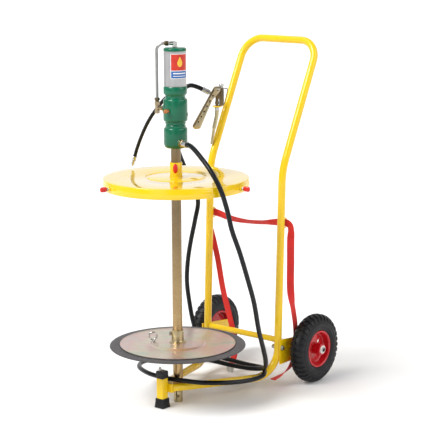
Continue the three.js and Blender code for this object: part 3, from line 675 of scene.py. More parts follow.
GREASE_HOSE_ROUTE = [
    (79.3, -29.8, 950), (97, -36.5, 949.5), (125, -48, 941), (172, -64, 916), (222, -78, 881),
    (264, -78, 824), (279, -60, 752), (291, -48, 678), (303, -22, 600), (306, 18, 500), (301, 60, 408),
    (280, 116, 288), (247, 188, 190), (216, 240, 128), (186, 272, 98), (150, 287, 83), (100, 290, 74),
    (30, 291, 70), (-40, 291, 70), (-100, 287, 71), (-152, 262, 74), (-200, 218, 77), (-234, 162, 80),
    (-246, 108, 83), (-234, 58, 86), (-200, 12, 89), (-150, -20, 91.5), (-100, -38, 92.5), (-50, -43, 93),
    (-4, -40, 93), (40, -26, 92), (101, 3, 89), (154, 52, 86), (190, 118, 81), (204, 186, 77), (198, 244, 75),
    (176, 286, 77), (144, 314, 78), (108, 329, 74), (50, 339, 69), (-20, 346, 68), (-84, 347, 71),
    (-132, 337, 92), (-160, 318, 134), (-178, 302, 190), (-201, 300, 287), (-211, 300, 364), (-205, 300, 443),
    (-189, 300, 523), (-172, 305, 603), (-174, 325, 672), (-222, 345, 742), (-268, 352, 800),
    (-296, 352, 860), (-303, 350, 920), (-304, 350, 980), (-298, 352, 1040), (-281, 362, 1080),
    (-256, 379.5, 1099), (-231.5, 397.6, 1092.6), (-217, 408.3, 1084),
]
AIR_HOSE_ROUTE = [
    (-47.2, 35.4, 1112), (-58, 42, 1111.5), (-86, 45, 1094), (-118, 43, 1062), (-147.6, 41, 1028),
    (-172, 40, 994), (-192, 41, 962), (-210, 42.5, 930), (-224, 43.5, 902), (-233, 44, 880), (-236, 44, 872),
]
FACE_BACK, FACE_SLANT, FACE_SIDE = (0, 1, 0), (-0.63, 0.77, 0), (-1, 0, 0)
TWIST_1 = Vector(FACE_BACK) + Vector((0, 0, 0.45))
TWIST_2 = Vector(FACE_BACK) + Vector((0, 0, 1.1))
STRAP_ROUTE = [
    ((-72, 400, 34), FACE_BACK), ((-60, 402, 80), FACE_BACK), ((-66, 403, 150), FACE_BACK),
    ((-88, 404, 226), FACE_BACK), ((-120, 407, 319), FACE_BACK), ((-150, 411, 440), FACE_BACK),
    ((-176, 414, 520), FACE_BACK), ((-193, 414.5, 570), FACE_BACK), ((-196, 414.5, 594), FACE_BACK),
    ((-189, 414.5, 610), FACE_BACK), ((-172, 414.5, 617), FACE_BACK), ((-150, 414.5, 615), FACE_BACK),
    ((-82, 415, 602), TWIST_1), ((5, 415, 600), TWIST_2), ((77, 415, 606), TWIST_2),
    ((150, 414.5, 616), FACE_BACK), ((180, 414.5, 616), FACE_BACK), ((194, 414, 608), FACE_BACK),
    ((200, 412, 592), FACE_BACK), ((200, 410, 556), FACE_SLANT), ((200, 410, 480), FACE_SLANT),
    ((200, 411, 366), FACE_SLANT), ((199.5, 424, 306), FACE_SIDE), ((199.5, 442, 224), FACE_SIDE),
    ((199.5, 442, 140), FACE_SIDE), ((199, 426, 86), FACE_SIDE), ((196, 396, 62), (-0.7, 0.3, 0.7)),
    ((191, 356, 47), (-0.2, 0.3, 1)), ((188, 318, 40), (0, 0.1, 1)),
]
STRAP_WIDTH, STRAP_THICK = 27, 2


def hose(name, route, radius, node):
    path = spline(route, 4)
    obj = piece(name, sweep(path, circle(radius, 20)), HOSE, node, sharp=60)


def crimped(radius, length, grooves):
    """A hose ferrule: a tube swaged onto the hose in rings."""
    outline = [(0, 0), (radius - 1, 0), (radius, 1)]
    pitch = (length - 4) / grooves
    for i in range(grooves):
        z = 2 + pitch * i
        outline += [(radius, z + pitch * 0.2), (radius - 1.1, z + pitch * 0.4),
                    (radius - 1.1, z + pitch * 0.7), (radius, z + pitch * 0.9)]
    return lathe([*outline, (radius, length - 1), (radius - 1, length), (0, length)], 40)


def build_hoses():
    out = across(OUTLET_SIDE)
    ferrule = joined(crimped(11.5, 27.7, 4), hexagon(11.4, -0.1, 3))
    outlet = piece("hose_ferrule_pump", placed(ferrule, Z * OUTLET_Z + out * 56.3, out), BRIGHT_ZINC,
                   "outlet_ferrule")
    end = Vector(GREASE_HOSE_ROUTE[-1])
    inward = (GUN_INLET - end).normalized()
    length = (GUN_INLET - end).length - 3
    stem = joined(crimped(11, 28, 4), rod(6, 27, length, 0.5), hexagon(8, length - 14, length - 5))
    gun_end = piece("hose_ferrule_gun", placed(stem, end + inward * 0.3, inward), BRIGHT_ZINC,
                    "gun_hose_ferrule")
    hose("grease_hose_cover", GREASE_HOSE_ROUTE, 8.5, "grease_hose")

    back = Vector((-44, 33, 0)).normalized()
    tail = joined(hexagon(9, 44, 52), crimped_tail())
    tail = piece("air_hose_tailpiece", placed(tail, Z * AIR_HOSE_Z, back), BRASS, "air_hose_tail")
    down = Vector((-3, 0, -8)).normalized()
    plug = piece("air_line_plug", placed(air_plug(), Vector(AIR_HOSE_ROUTE[-1]) + down * 0.3, down),
                 BRIGHT_ZINC, "air_plug")
    hose("air_hose_cover", AIR_HOSE_ROUTE, 6.5, "air_hose")


def crimped_tail():
    return lathe([(0, 40), (6, 40), (6, 53), (7.6, 53.4), (7.6, 56), (7, 58.4), (0, 58.4)], 32)


def air_plug():
    barrel = lathe([
        (0, 0), (7.6, 0), (8, 0.6), (8, 5), (7.4, 5.6), (7.4, 7), (8, 7.6), (8, 12), (7.4, 12.6), (7.4, 14),
        (8, 14.6), (8, 18), (5.2, 19.5), (5, 20.5), (5, 26), (6.3, 27), (6.5, 28), (5.6, 30), (4.6, 33),
        (4.2, 37), (3.6, 38), (2.4, 38), (2.4, 30), (0, 30),
    ], 36)
    return joined(barrel, hexagon(8.6, 8.4, 12.6))


def build_strap():
    path = spline([point for point, _ in STRAP_ROUTE], 4)
    faces = strap_faces(path)
    width, thick = STRAP_WIDTH / 2, STRAP_THICK / 2
    section = [(-width, -thick * 0.6), (-width * 0.5, -thick), (width * 0.5, -thick), (width, -thick * 0.6),
               (width, thick * 0.6), (width * 0.5, thick), (-width * 0.5, thick), (-width, thick * 0.6)]
    points = []
    for i, (centre, face) in enumerate(zip(path, faces)):
        along = (path[min(i + 1, len(path) - 1)] - path[max(i - 1, 0)]).normalized()
        side = face.cross(along).normalized()
        up = along.cross(side)
        points += [centre + side * x + up * y for x, y in section]
    size = len(section), len(path)
    shape = points, [*walls(*size), *end_caps(*size)]
    strap = piece("strap_webbing", shape, WEBBING, "strap", sharp=50)
    unwrap_strap(strap, path)
    buckle = build_buckle()


def strap_faces(path):
    """The direction the strap's face looks in at every point, turned evenly between the route's own."""
    route = [Vector(point) for point, _ in STRAP_ROUTE]
    nearest = []
    for point in path:
        gaps = [(point - r).length for r in route]
        i = gaps.index(min(gaps))
        i = min(max(i, 1), len(route) - 2)
        ahead = (point - route[i]).dot(route[i + 1] - route[i]) > 0
        a, b = (i, i + 1) if ahead else (i - 1, i)
        share = (point - route[a]).dot(route[b] - route[a]) / (route[b] - route[a]).length_squared
        share = min(max(share, 0), 1)
        nearest.append(Vector(STRAP_ROUTE[a][1]).lerp(Vector(STRAP_ROUTE[b][1]), share))
    return nearest


def unwrap_strap(obj, path):
    """Across the strap is U from 0 to 1, and along it is V in metres, so that the weave keeps its scale."""
    layer = obj.data.uv_layers.new(name="UVMap")
    reach = [0.0]
    for a, b in zip(path, path[1:]):
        reach.append(reach[-1] + (b - a).length * MM)
    across_at = [0, 0.25, 0.75, 1, 1, 0.75, 0.25, 0]
    count = len(across_at)
    for polygon in obj.data.polygons:
        for loop in polygon.loop_indices:
            vertex = obj.data.loops[loop].vertex_index
            layer.data[loop].uv = (across_at[vertex % count], reach[vertex // count])


def build_buckle():
    """A cam buckle: a pressed base with two upright cheeks, and a thumb lever on a pin across it."""
    base = plate(rounded_rectangle(16.5, 14.5, 3), 1.6, [(0, 10, 2.2)])
    cheek = plate([(-9, 0), (9, 0), (7, 4), (-3, 5), (-9, 3)], 1.4)
    cheeks = [placed(cheek, (s * 15, 0, 0), X, 90) for s in (-1, 1)]
    pin = placed(rod(2, -15.5, 15.5, 0.4, 20), (0, -2, 3), X)
    lever = placed(block(26, 15, 2, 0.7), (0, 2, 2.8))
    ridges = [placed(rod(0.9, -12, 12, 0.2, 10), (0, y, 3.8), X) for y in (0, 3, 6)]
    shape = joined(base, *cheeks, pin, lever, *ridges)
    return piece("strap_cam_buckle", placed(shape, (-80, 398, 15.8), Y), ZINC, "strap_buckle")


# ------------------------------------------------------------ trolley frame


def upright_y(z):
    return BASE_REAR[0] + (KINK[0] - BASE_REAR[0]) * (z - BASE_REAR[1]) / (KINK[1] - BASE_REAR[1])


def leaning_y(z):
    return KINK[0] + (HANDLE_TOP[0] - KINK[0]) * (z - KINK[1]) / (HANDLE_TOP[1] - KINK[1])


def weld(at, along, radius, bead=1.5):
    """A ring of weld metal with the ripple of its puddles."""
    return placed(torus(radius, bead, 96, 10, 0.16, int(radius * 2)), at, along)


def gun_placed(shape):
    return placed(shape, GUN_AT, roll=GUN_TURN)


def stood_up(shape):
    """A shape drawn in X and Y is stood up so that its Y becomes Z."""
    return [Vector((p[0], -p[2], p[1])) for p in shape[0]], shape[1]


def build_frame():
    def side(s):
        return [
            ((s * BASE_FRONT[0], BASE_FRONT[1], BASE_FRONT[2]), 0),
            ((s * UPRIGHT_X, *BASE_REAR), 100),
            ((s * UPRIGHT_X, *KINK), 220),
            ((s * UPRIGHT_X, *HANDLE_TOP), 80),
        ]

    route = bent([*side(-1), *reversed(side(1))], 4)
    bow = sweep(route, circle(TUBE_R, 40))
    front = placed(block(68, 9, 32, 1.5), (0, -67.2, BASE_FRONT[2]))
    shapes = [bow, front, gun_ring()]
    for _, s in SIDES:
        shapes.append(strap_loop(s))
        end = Vector((s * 26, -62, BASE_FRONT[2] - 0.3))
        shapes.append(weld(end, (s * 146, 435, -30), TUBE_R + 0.4, 1.8))
        for dz in (-18, 18):
            shapes.append(weld((s * UPRIGHT_X, upright_y(LOOP_Z) + TUBE_R - 0.4, LOOP_Z + dz), Y, 2.8, 1.1))
    piece("frame_bow", joined(*shapes), YELLOW, "tube_frame", sharp=40)

    y = upright_y(CROSS_BAR_Z)
    reach = UPRIGHT_X - TUBE_R + 2.5
    bar = sweep([(-reach, y, CROSS_BAR_Z), (reach, y, CROSS_BAR_Z)], circle(11, 32))
    beads = [saddle_bead(s, y) for _, s in SIDES]
    piece("cross_bar_welded", joined(bar, *beads), YELLOW, "cross_bar", sharp=40)
    for name, s in SIDES:
        build_bracket(name, s)
    build_leg()


def saddle_bead(s, y):
    """The weld where the cross bar meets an upright follows the saddle of the two tubes."""
    points, count, sides = [], 72, 8
    for i in range(count):
        a = 2 * math.pi * i / count
        across_bar = 11.6 * math.cos(a)
        x = s * (UPRIGHT_X - math.sqrt(14.6**2 - across_bar**2))
        centre = Vector((x, y + across_bar, CROSS_BAR_Z + 11.6 * math.sin(a)))
        out = Vector((0, math.cos(a), math.sin(a)))
        r = 1.7 * (1 + 0.15 * math.sin(26 * a))
        for k in range(sides):
            b = 2 * math.pi * k / sides
            points.append(centre + out * (r * math.cos(b)) + X * (r * math.sin(b)))
    return points, ring_faces(count, sides)


def strap_loop(s):
    y = upright_y(LOOP_Z) + TUBE_R - 1
    x = s * UPRIGHT_X
    route = bent([((x, y, LOOP_Z + 18), 0), ((x, y + 21, LOOP_Z + 18), 10),
                  ((x, y + 21, LOOP_Z - 18), 10), ((x, y, LOOP_Z - 18), 0)], 9)
    return sweep(route, circle(2.5, 14))


def gun_ring():
    at = NOZZLE_AT + Z * 1023.2
    hoop = gun_placed(placed(torus(15, 2.5, 48, 14), at))
    start = Matrix.Rotation(math.radians(GUN_TURN), 3, "Z") @ at + GUN_AT + Y * 14
    wall = Vector((-UPRIGHT_X, leaning_y(start.z), start.z))
    toward = (wall - start).normalized()
    arm = sweep([start, wall - toward * (TUBE_R - 1)], circle(2.5, 14))
    return joined(hoop, arm, weld(wall - toward * TUBE_R, toward, 2.8, 1.2), weld(start, toward, 2.4, 1.1))


def build_bracket(name, s):
    """The plate that carries the axle is bolted through the upright."""
    y0 = upright_y(CROSS_BAR_Z) - TUBE_R + 2
    outline = [(y0, BOLT_Z - 62), (AXLE_Y - 10, WHEEL_R - 40)]
    for k in range(19):
        a = math.radians(-75 + 150 * k / 18)
        outline.append((AXLE_Y + 40 * math.cos(a), WHEEL_R + 40 * math.sin(a)))
    outline.append((y0, BOLT_Z + 34))
    bolt_y = upright_y(BOLT_Z)
    flat = plate(outline, 5, [(AXLE_Y, WHEEL_R, 10.2), (bolt_y, BOLT_Z, 5.3)], 0.5)
    turned = [Vector((p[2], p[0], p[1])) for p in flat[0]], flat[1]
    x = s * (UPRIGHT_X + TUBE_R + 0.3 + 2.5)
    shape = placed(turned, (x, 0, 0))
    collar = weld((x + s * 2.5, AXLE_Y, WHEEL_R), X, 11.4, 1.4)
    piece(f"bracket_plate_{name}", joined(shape, collar), YELLOW, f"axle_bracket_{name}")

    outer, inner = UPRIGHT_X + TUBE_R + 5.6, UPRIGHT_X - TUBE_R - 0.3
    washer = lathe([(5, outer - 0.1), (9.5, outer - 0.1), (9.5, outer + 1.2), (5, outer + 1.2)], 32)
    head = joined(hexagon(8.5, outer + 1.2, outer + 6.6), rod(5, outer + 6, outer + 7, 0.6))
    nut = hexagon(8.5, inner - 9, inner)
    shank = joined(rod(4.4, inner - 12, outer + 1, 0.6), helix(4.5, inner - 11.5, inner - 9, 1.25, 0.5))
    bolt = placed(joined(washer, head, nut, shank), (0, bolt_y, BOLT_Z), X * s)
    piece(f"bracket_bolt_set_{name}", bolt, ZINC, f"bracket_bolt_{name}")


def build_leg():
    at = (0, LEG_Y, 0)
    tube = loft([(rounded_rectangle(15, 15, 3, 5), z) for z in (26, 108)])
    seam = weld((0, 15.4, BASE_FRONT[2]), Y, 11, 1.6)
    piece("leg_tube", placed(joined(tube, seam), at), YELLOW, "front_leg")

    cap = [(15.2, 108.3), (16.5, 109.2), (16.5, 114), (15.9, 114.6), (16.5, 115.2), (16.5, 121),
           (15.9, 121.6), (16.5, 122.2), (16.5, 131), (15.3, 134.6), (13.5, 135)]
    plug = loft([(rounded_rectangle(half, half, 3, 5), z) for half, z in cap])
    piece("leg_plug_cap", placed(plug, at), BLACK_PLASTIC, "leg_top_plug", sharp=28)
    bolt = joined(hexagon(6.5, 136, 142), rod(3.6, 141, 148, 0.6), helix(3.6, 142.5, 147.5, 1.2, 0.45),
                  lathe([(3, 135), (7.4, 135), (7.4, 136.2), (3, 136.2)], 32))
    piece("leg_plug_bolt", placed(bolt, (-6, LEG_Y - 4, 0)), ZINC)

    boot = [(18.0, 0), (20.6, 0), (21, 1.2), (20.4, 8), (19.9, 9), (20.1, 10), (19.2, 20), (18.7, 21),
            (18.9, 22), (18.4, 32), (17.6, 34), (15.4, 34)]
    foot = loft([(rounded_rectangle(half, half, 3.5, 5), z) for half, z in boot])
    piece("leg_boot", placed(joined(foot, boot_ribs()), at), FOOT_RUBBER, "rubber_foot", sharp=28)


def boot_ribs():
    ribs = []
    for turn in range(4):
        for k in (-10, -5, 0, 5, 10):
            path = [Vector((k, -20.5, 2)), Vector((k, -18.6, 31))]
            rib = sweep(path, circle(0.9, 8))
            ribs.append(placed(rib, roll=90 * turn))
    return joined(*ribs)


# ------------------------------------------------------------------- wheels

TREAD = [(1.2, 130), (8, 129.6), (15, 127.6), (21.5, 123.4), (26.5, 117), (29.6, 109.5)]


def lug(angle, mirror):
    """One tread block, from the crown to the shoulder, raised from the casing and slightly swept back."""
    points, faces = [], []
    for i, (z, r) in enumerate(TREAD):
        sweep_back = angle + 3.4 * (i / (len(TREAD) - 1)) ** 1.5
        half = (7.2 - 0.25 * i) / r
        depth = 4.2 - 0.35 * i
        for radius, width in ((r - depth, half * 1.15), (r, half)):
            for k in (-1, 1):
                a = math.radians(sweep_back) + k * width
                lift = 0 if radius == r else 0.8
                points.append(Vector((radius * math.cos(a), radius * math.sin(a),
                                      mirror * (z - lift * i * 0.2))))
    for i in range(len(TREAD) - 1):
        b, n = 4 * i, 4 * i + 4
        faces += [(b + 2, b + 3, n + 3, n + 2), (b, b + 2, n + 2, n), (b + 3, b + 1, n + 1, n + 3)]
    last = 4 * (len(TREAD) - 1)
    faces += [(0, 1, 3, 2), (last, last + 1, last + 3, last + 2)]
    return points, faces


def build_wheel(name, s):
    at, out = (s * WHEEL_X, AXLE_Y, WHEEL_R), X * s
    half = [(0, 126), (10, 125.6), (17, 122.6), (22.5, 117.6), (26.5, 111), (29.4, 103), (30.6, 97),
            (31, 96.2), (31, 94.4), (30.4, 93.6), (30.7, 88), (31, 84.6), (30.4, 83.8), (29.6, 79),
            (27.6, 74), (25.6, 71.2)]
    outline = [(r, z) for z, r in half] + [(r, -z) for z, r in reversed(half)][:-1]
    casing = lathe(outline, 120)
    count = 34
    lugs = [lug(360 * (k + shift) / count, mirror)
            for k in range(count) for mirror, shift in ((1, 0), (-1, 0.5))]
    piece(f"tyre_tread_{name}", placed(joined(casing, *lugs), at, out), TYRE, f"tyre_{name}",
          body=f"wheel_{name}", sharp=38)

    outer = [(54, 0.4), (57.5, 2.5), (59.6, 8), (60.4, 20), (62, 24), (65, 26.3), (67.6, 26.5), (69.6, 25.4),
             (69.8, 23.4), (66.6, 23.2), (64, 20), (63, 12)]
    inner = [(r, -z) for r, z in reversed(outer[3:])] + [(59.6, -12), (57.5, -6.5), (54, -4.4)]
    drum = lathe(outer + inner, 120)
    web = placed(plate(circle(55.5, 96), 4.4, [(-21, 27, 6.5), (0, 0, 15)], 0.3), (0, 0, -2))
    end = HUB_END
    hub = lathe([(15.3, -25.4), (20.2, -25.4), (21, -24.6), (21, end - 0.8), (20.2, end), (15.3, end)], 64)
    beads = [weld((0, 0, z), Z, 21.4, 1.5) for z in (0.6, -4.6)]
    piece(f"rim_steel_{name}", placed(joined(drum, web, hub, *beads), at, out), RED, f"rim_{name}",
          body=f"wheel_{name}", sharp=34)

    bush = lathe([(10.3, -25.8), (14.6, -25.8), (15, -25.4), (15, end), (14.6, end + 0.4), (10.3, end + 0.4)],
                 48)
    piece(f"hub_bush_nylon_{name}", placed(bush, at, out), NYLON, f"hub_bush_{name}", body=f"wheel_{name}")
    washer = lathe([(10.3, 1), (14.6, 1), (15, 1.4), (15, 3), (14.4, 3.5), (10.3, 3.5)], 48)
    washer = placed(washer, (0, 0, end))
    piece(f"axle_retainer_{name}", placed(washer, at, out), NYLON, f"axle_washer_{name}")


def build_axle():
    end = WHEEL_X + HUB_END + 7
    outline = [(7, -end), (9.4, -end), (10, 0.6 - end), (10, end - 0.6), (9.4, end), (7, end)]
    piece("axle_tube", placed(lathe(outline, 48), (0, AXLE_Y, WHEEL_R), X), STEEL, "axle")
    for name, s in SIDES:
        build_wheel(name, s)


# --------------------------------------------------------------------- pump


def build_pump():
    tube = lathe([(14.5, 42.3), (17.2, 42.3), (17.5, 42.6), (17.5, 949), (14.5, 949)], 64)
    piece("pump_tube", tube, TUBE_FILM, "suction_tube")
    build_foot()

    lower = lathe([
        (17.8, 929), (27, 929.2), (33, 930.6), (37.4, 933.6), (40.2, 938), (41.5, 944), (41.5, 996.4),
        (40.8, 999), (38.4, 1001.8), (36, 1003.4), (36, 1008.6), (34.4, 1010), (33.5, 1012), (34.4, 1014),
        (36, 1015.4), (36, 1023.7), (17.8, 1023.7),
    ], 96)
    out = across(OUTLET_SIDE)
    boss = placed(lathe([(0, 30), (16.4, 34), (15.4, 40.6), (14.6, 41.8), (0, 41.8)], 48), Z * OUTLET_Z, out)
    plug_side = placed(lathe([(0, 36), (9, 38), (8.4, 42.4), (0, 42.4)], 32), Z * BODY_PLUG_Z,
                       across(BODY_PLUG_SIDE))
    parting = [vertical_rib(angle, 41.4, 945, 996) for angle in PARTING_SIDES]
    piece("pump_lower_casting", joined(lower, boss, plug_side, *parting), GREEN, "lower_body")

    upper = lathe([
        (7.3, 1024), (37.6, 1024), (39.6, 1024.8), (41.6, 1027.4), (42.5, 1031), (42.5, 1097.6),
        (41.8, 1100.4), (39.4, 1103.2), (36, 1105.2), (35, 1107.4), (35, 1113.4), (36, 1115.4), (39, 1119),
        (41, 1122), (41.5, 1124.4), (41.5, 1143), (40.6, 1145), (39.2, 1146.7), (7.3, 1146.7),
    ], 96)
    ports = [placed(lathe([(0, 36), (12.4, 39), (11.4, 43.6), (10.6, 44.4), (0, 44.4)], 40), Z * z, across(a))
             for z, a in ((AIR_INLET_Z, AIR_SIDE), (SILENCER_Z, AIR_SIDE + 24), (AIR_HOSE_Z, AIR_HOSE_SIDE))]
    boss = lathe([(0, 38), (7.4, 40), (6.8, 43.4), (0, 43.4)], 32)
    bosses = [placed(boss, Z * VALVE_PLUG_Z, across(a)) for a in VALVE_PLUG_SIDES]
    ribs = [vertical_rib(angle, 42.4, 1032, 1097) for angle in PARTING_SIDES]
    piece("air_valve_casting", joined(upper, *ports, *bosses, *ribs), GREEN, "air_valve_body")
    spots = [(VALVE_PLUG_Z, a, 43.3) for a in VALVE_PLUG_SIDES] + [(BODY_PLUG_Z, BODY_PLUG_SIDE, 42.3)]
    plugs = [placed(socket_plug(), Z * z + across(a) * r, across(a)) for z, a, r in spots]
    piece("casting_socket_plugs", joined(*plugs), ZINC)
    build_cylinder()


def vertical_rib(angle, radius, z0, z1):
    """The faint line where the two halves of the mould met."""
    return sweep([across(angle) * radius + Z * z0, across(angle) * radius + Z * z1], circle(0.6, 8))


def socket_plug():
    return joined(lathe([(2.6, 0), (5.6, 0), (5.6, 1), (5.1, 1.5), (3, 1.5), (2.6, 0.3)], 28),
                  hexagon(2.7, -2, 0.2))


def build_foot():
    """The pump's foot has a cross hole through it, where the grease is drawn in."""
    outline = [(9, 42), (15.2, 42), (15.5, 41.6), (16, 26), (16, 1.6), (15, 0.2), (9, 0.2)]
    shell = cut_hole(lathe(outline, 72), 5.2, across(-50), 24)
    ring_mark = lathe([(15.7, 38), (16.3, 38.4), (16.3, 40.6), (15.7, 41)], 72)
    seat = lathe([(0, 0.3), (8.9, 0.3), (8.9, 19), (6, 20), (0, 18)], 48)
    piece("pump_foot_valve", joined(shell, ring_mark, seat), ZINC_FILM, "foot_valve_body")
    ball = lathe([(7 * math.sin(math.radians(a)), -7 * math.cos(math.radians(a))) for a in range(0, 181, 6)],
                 48)
    ball = placed(ball, Z * 27.5)
    piece("check_ball_ground", ball, STEEL, "foot_check_ball", body="check_ball", sharp=60)


def cut_hole(shape, radius, along, z):
    """Drills a round hole right across a shape."""
    tool = placed(rod(radius, -40, 40, 0, 40), (0, 0, z), along)
    body, drill = (linked(name, closed_mesh(name, [tuple(p) for p in part[0]], part[1], 1e-4))
                   for name, part in (("cut_body", shape), ("cut_drill", tool)))
    boolean = body.modifiers.new("drill", "BOOLEAN")
    boolean.object = drill
    boolean.operation = "DIFFERENCE"
    boolean.solver = "EXACT"
    result = evaluated_shape(body)
    for obj in (body, drill):
        bpy.data.objects.remove(obj)
    return result


def build_cylinder():
    barrel = lathe([(36, 1147), (39, 1147), (39.5, 1147.6), (39.5, 1149), (38.9, 1149.6), (38.9, 1150.8),
                    (39.5, 1151.4), (39.5, 1265), (38.9, 1265.6), (38.9, 1267), (39.5, 1267.6),
                    (39.5, 1269.7), (36, 1269.7)], 96)
    piece("air_cylinder_barrel", barrel, ALUMINIUM, "air_cylinder")
    cap = lathe([(0, 1270), (39.4, 1270), (40, 1270.8), (40, 1277), (39.2, 1278.8), (36, 1281), (33, 1281.8),
                 (30, 1282), (14, 1282), (13.4, 1281.4), (12, 1281.4), (12, 1282), (0, 1282)], 96)
    piece("air_cylinder_cap", cap, GREEN, "cylinder_cap")
    build_label()
    build_motor_inside()


def build_label():
    """The sticker bends round the barrel; U runs round it and V up it."""
    spread, facing, low, high, columns = 48, -24, 1176, 1262, 32
    points, faces = [], []
    for i in range(columns + 1):
        a = facing - spread + 2 * spread * i / columns
        for r in (39.9, 40.2):
            for z in (low, high):
                points.append(across(a) * r + Z * z)
    for i in range(columns):
        b, n = 4 * i, 4 * i + 4
        faces += [(b + 2, n + 2, n + 3, b + 3), (b, b + 1, n + 1, n), (b + 1, b + 3, n + 3, n + 1),
                  (b, n, n + 2, b + 2)]
    last = 4 * columns
    faces += [(0, 2, 3, 1), (last, last + 1, last + 3, last + 2)]
    label = piece("cylinder_sticker", (points, faces), LABEL, "cylinder_label", sharp=50)
    layer = label.data.uv_layers.new(name="UVMap")
    for loop in label.data.loops:
        co = label.data.vertices[loop.vertex_index].co / MM
        turn = math.degrees(math.atan2(co.y, co.x)) - facing + spread
        layer.data[loop.index].uv = (turn / (2 * spread), (co.z - low) / (high - low))


def build_motor_inside():
    rod_shape = rod(7, 118, 1206, 0.8, 40)
    piece("pump_rod_ground", rod_shape, STEEL, "piston_rod", body="pump_rod")
    piston = lathe([(0, 1206.3), (34.6, 1206.3), (35.5, 1207.2), (35.5, 1212), (32, 1212), (32, 1218),
                    (35.5, 1218), (35.5, 1223.2), (34.6, 1224), (0, 1224)], 72)
    piece("air_piston_turned", piston, ALUMINIUM, "air_piston", body="pump_rod")
    seal = lathe([(32.3, 1212.3), (34.8, 1212.3), (35.7, 1213.4), (35.2, 1215), (35.7, 1216.6),
                  (34.8, 1217.7), (32.3, 1217.7)], 72)
    piece("air_piston_ring", seal, FOOT_RUBBER, "piston_seal", body="pump_rod")
    plunger = lathe([(0, 92), (9.6, 92), (11, 93), (14.1, 96), (14.1, 104), (13.3, 104.6), (13.3, 106),
                     (14.1, 106.6), (14.1, 117), (13.4, 117.5), (0, 117.5)], 48)
    piece("grease_plunger_turned", plunger, STEEL, "grease_plunger", body="pump_rod")


def build_air_side():
    out = across(AIR_SIDE)
    top = 1296
    elbow = joined(
        hexagon(9, 1282.3, 1291), rod(8.2, 1290, 1301.6, 1.4, 40), rod(6.4, 1281.9, 1284, 0, 32),
        placed(joined(rod(7, 0, 18, 0.4, 40), rod(6, 17, 20, 0.3, 32)), Z * top, out))
    piece("cap_elbow_forged", elbow, BRIGHT_ZINC, "cap_elbow")

    side = out * 63.6
    line = bent([(out * 21.3 + Z * top, 0), (side + Z * top, 26), (side + Z * 1096, 0)], 5)
    pipe = sweep(line, circle(5, 28))
    piece("air_line_pipe", pipe, GREY_PIPE, "air_line", sharp=60)
    nuts = joined(placed(flare_nut(9, 17), out * 21 + Z * top, out),
                  placed(flare_nut(9.5, 13), side + Z * 1107, -Z))
    piece("air_line_nuts", nuts, DARK_FILM)

    post = joined(hexagon(9.4, 1080, 1093.5), rod(7.4, 1060, 1081, 0.8, 36), hexagon(9.4, 1052, 1064))
    post = placed(post, side)
    stub = placed(joined(hexagon(8.6, 44.2, 50), rod(7, 49, 60, 0.6, 32)), Z * AIR_INLET_Z, out)
    piece("air_inlet_fitting", joined(post, stub), BRASS, "air_inlet_block")

    away = across(AIR_SIDE + 56)
    body = lathe([(0, 48.4), (6.8, 48.6), (7.5, 50), (7.5, 59), (6.4, 63), (3.6, 65.6), (0, 66)], 48)
    piece("exhaust_muffler", placed(joined(hexagon(6.8, 44.2, 48.8), body), Z * SILENCER_Z, away), BRONZE,
          "exhaust_silencer")

    swivel_out = across(OUTLET_SIDE)
    swivel = joined(rod(13.4, 41.6, 44.2, 0.5, 48), hexagon(14, 44, 55.6), rod(10.6, 55, 56.2, 0.3, 40))
    piece("outlet_swivel_hex", placed(swivel, Z * OUTLET_Z, swivel_out), ZINC_FILM, "outlet_swivel")


def flare_nut(radius, length):
    """A pipe nut: a hexagon that narrows to a collar round the pipe."""
    outline = [(0, length - 5), (radius * 0.84, length - 4.4), (radius * 0.7, length - 0.6),
               (radius * 0.64, length), (0, length)]
    return joined(hexagon(radius, 0, length - 4), lathe(outline, 36))


# -------------------------------------------------------------- drum cover


def build_cover():
    z = COVER_TOP
    outline = [
        (18.5, z), (97, z), (99, z - 0.6), (101.5, z - 2.4), (103.5, z - 3), (106.5, z - 3), (108.5, z - 2.4),
        (111, z - 0.6), (113, z), (251, z), (254.6, z - 0.3), (257.6, z - 1.6), (258.9, z - 4),
        (259, z - 9.4), (259.5, z - 11), (260, z - 12), (260, z - 35.4), (259.6, z - 36), (258.7, z - 36),
        (258.5, z - 35.4), (258.5, z - 12), (257.6, z - 9), (257.4, z - 5), (255, z - 2.4), (251, z - 1.5),
        (113, z - 1.5), (109, z - 4.4), (101, z - 4.4), (97, z - 1.5), (18.5, z - 1.5),
    ]
    disc = lathe(outline, 180)
    nuts = []
    for angle in RIM_SCREW_ANGLES:
        out = across(angle)
        nuts.append(placed(hexagon(9, 259.2, 267, 4.4), Z * RIM_SCREW_Z, out))
        nuts.append(weld(out * 259.8 + Z * RIM_SCREW_Z, out, 8.6, 1.3))
    piece("drum_cover_disc", joined(disc, *nuts), COVER_YELLOW, "cover_disc", body="drum_cover", sharp=38)

    collar = lathe([(SLIDE_R, z + 0.3), (22, z + 0.3), (22, 877.6), (21.2, 879), (18.7, 879),
                    (SLIDE_R, 878.4)], 72)
    facing = across(COLLAR_SCREW_ANGLE)
    boss = placed(lathe([(4.3, 20.4), (7.6, 21.2), (7.2, 24), (4.3, 24)], 36), Z * COLLAR_SCREW_Z, facing)
    bead = weld((0, 0, z + 0.6), Z, 22.4, 1.6)
    piece("cover_collar_tube", joined(collar, boss, bead), YELLOW, "cover_collar", body="drum_cover",
          sharp=34)
    hand_screw("collar_screw", COLLAR_SCREW_ANGLE, COLLAR_SCREW_Z, SLIDE_R, 34, 17, 18)
    for i, angle in enumerate(RIM_SCREW_ANGLES):
        hand_screw(f"rim_screw_{i + 1}", angle, RIM_SCREW_Z, 248, 272, 9, 25)


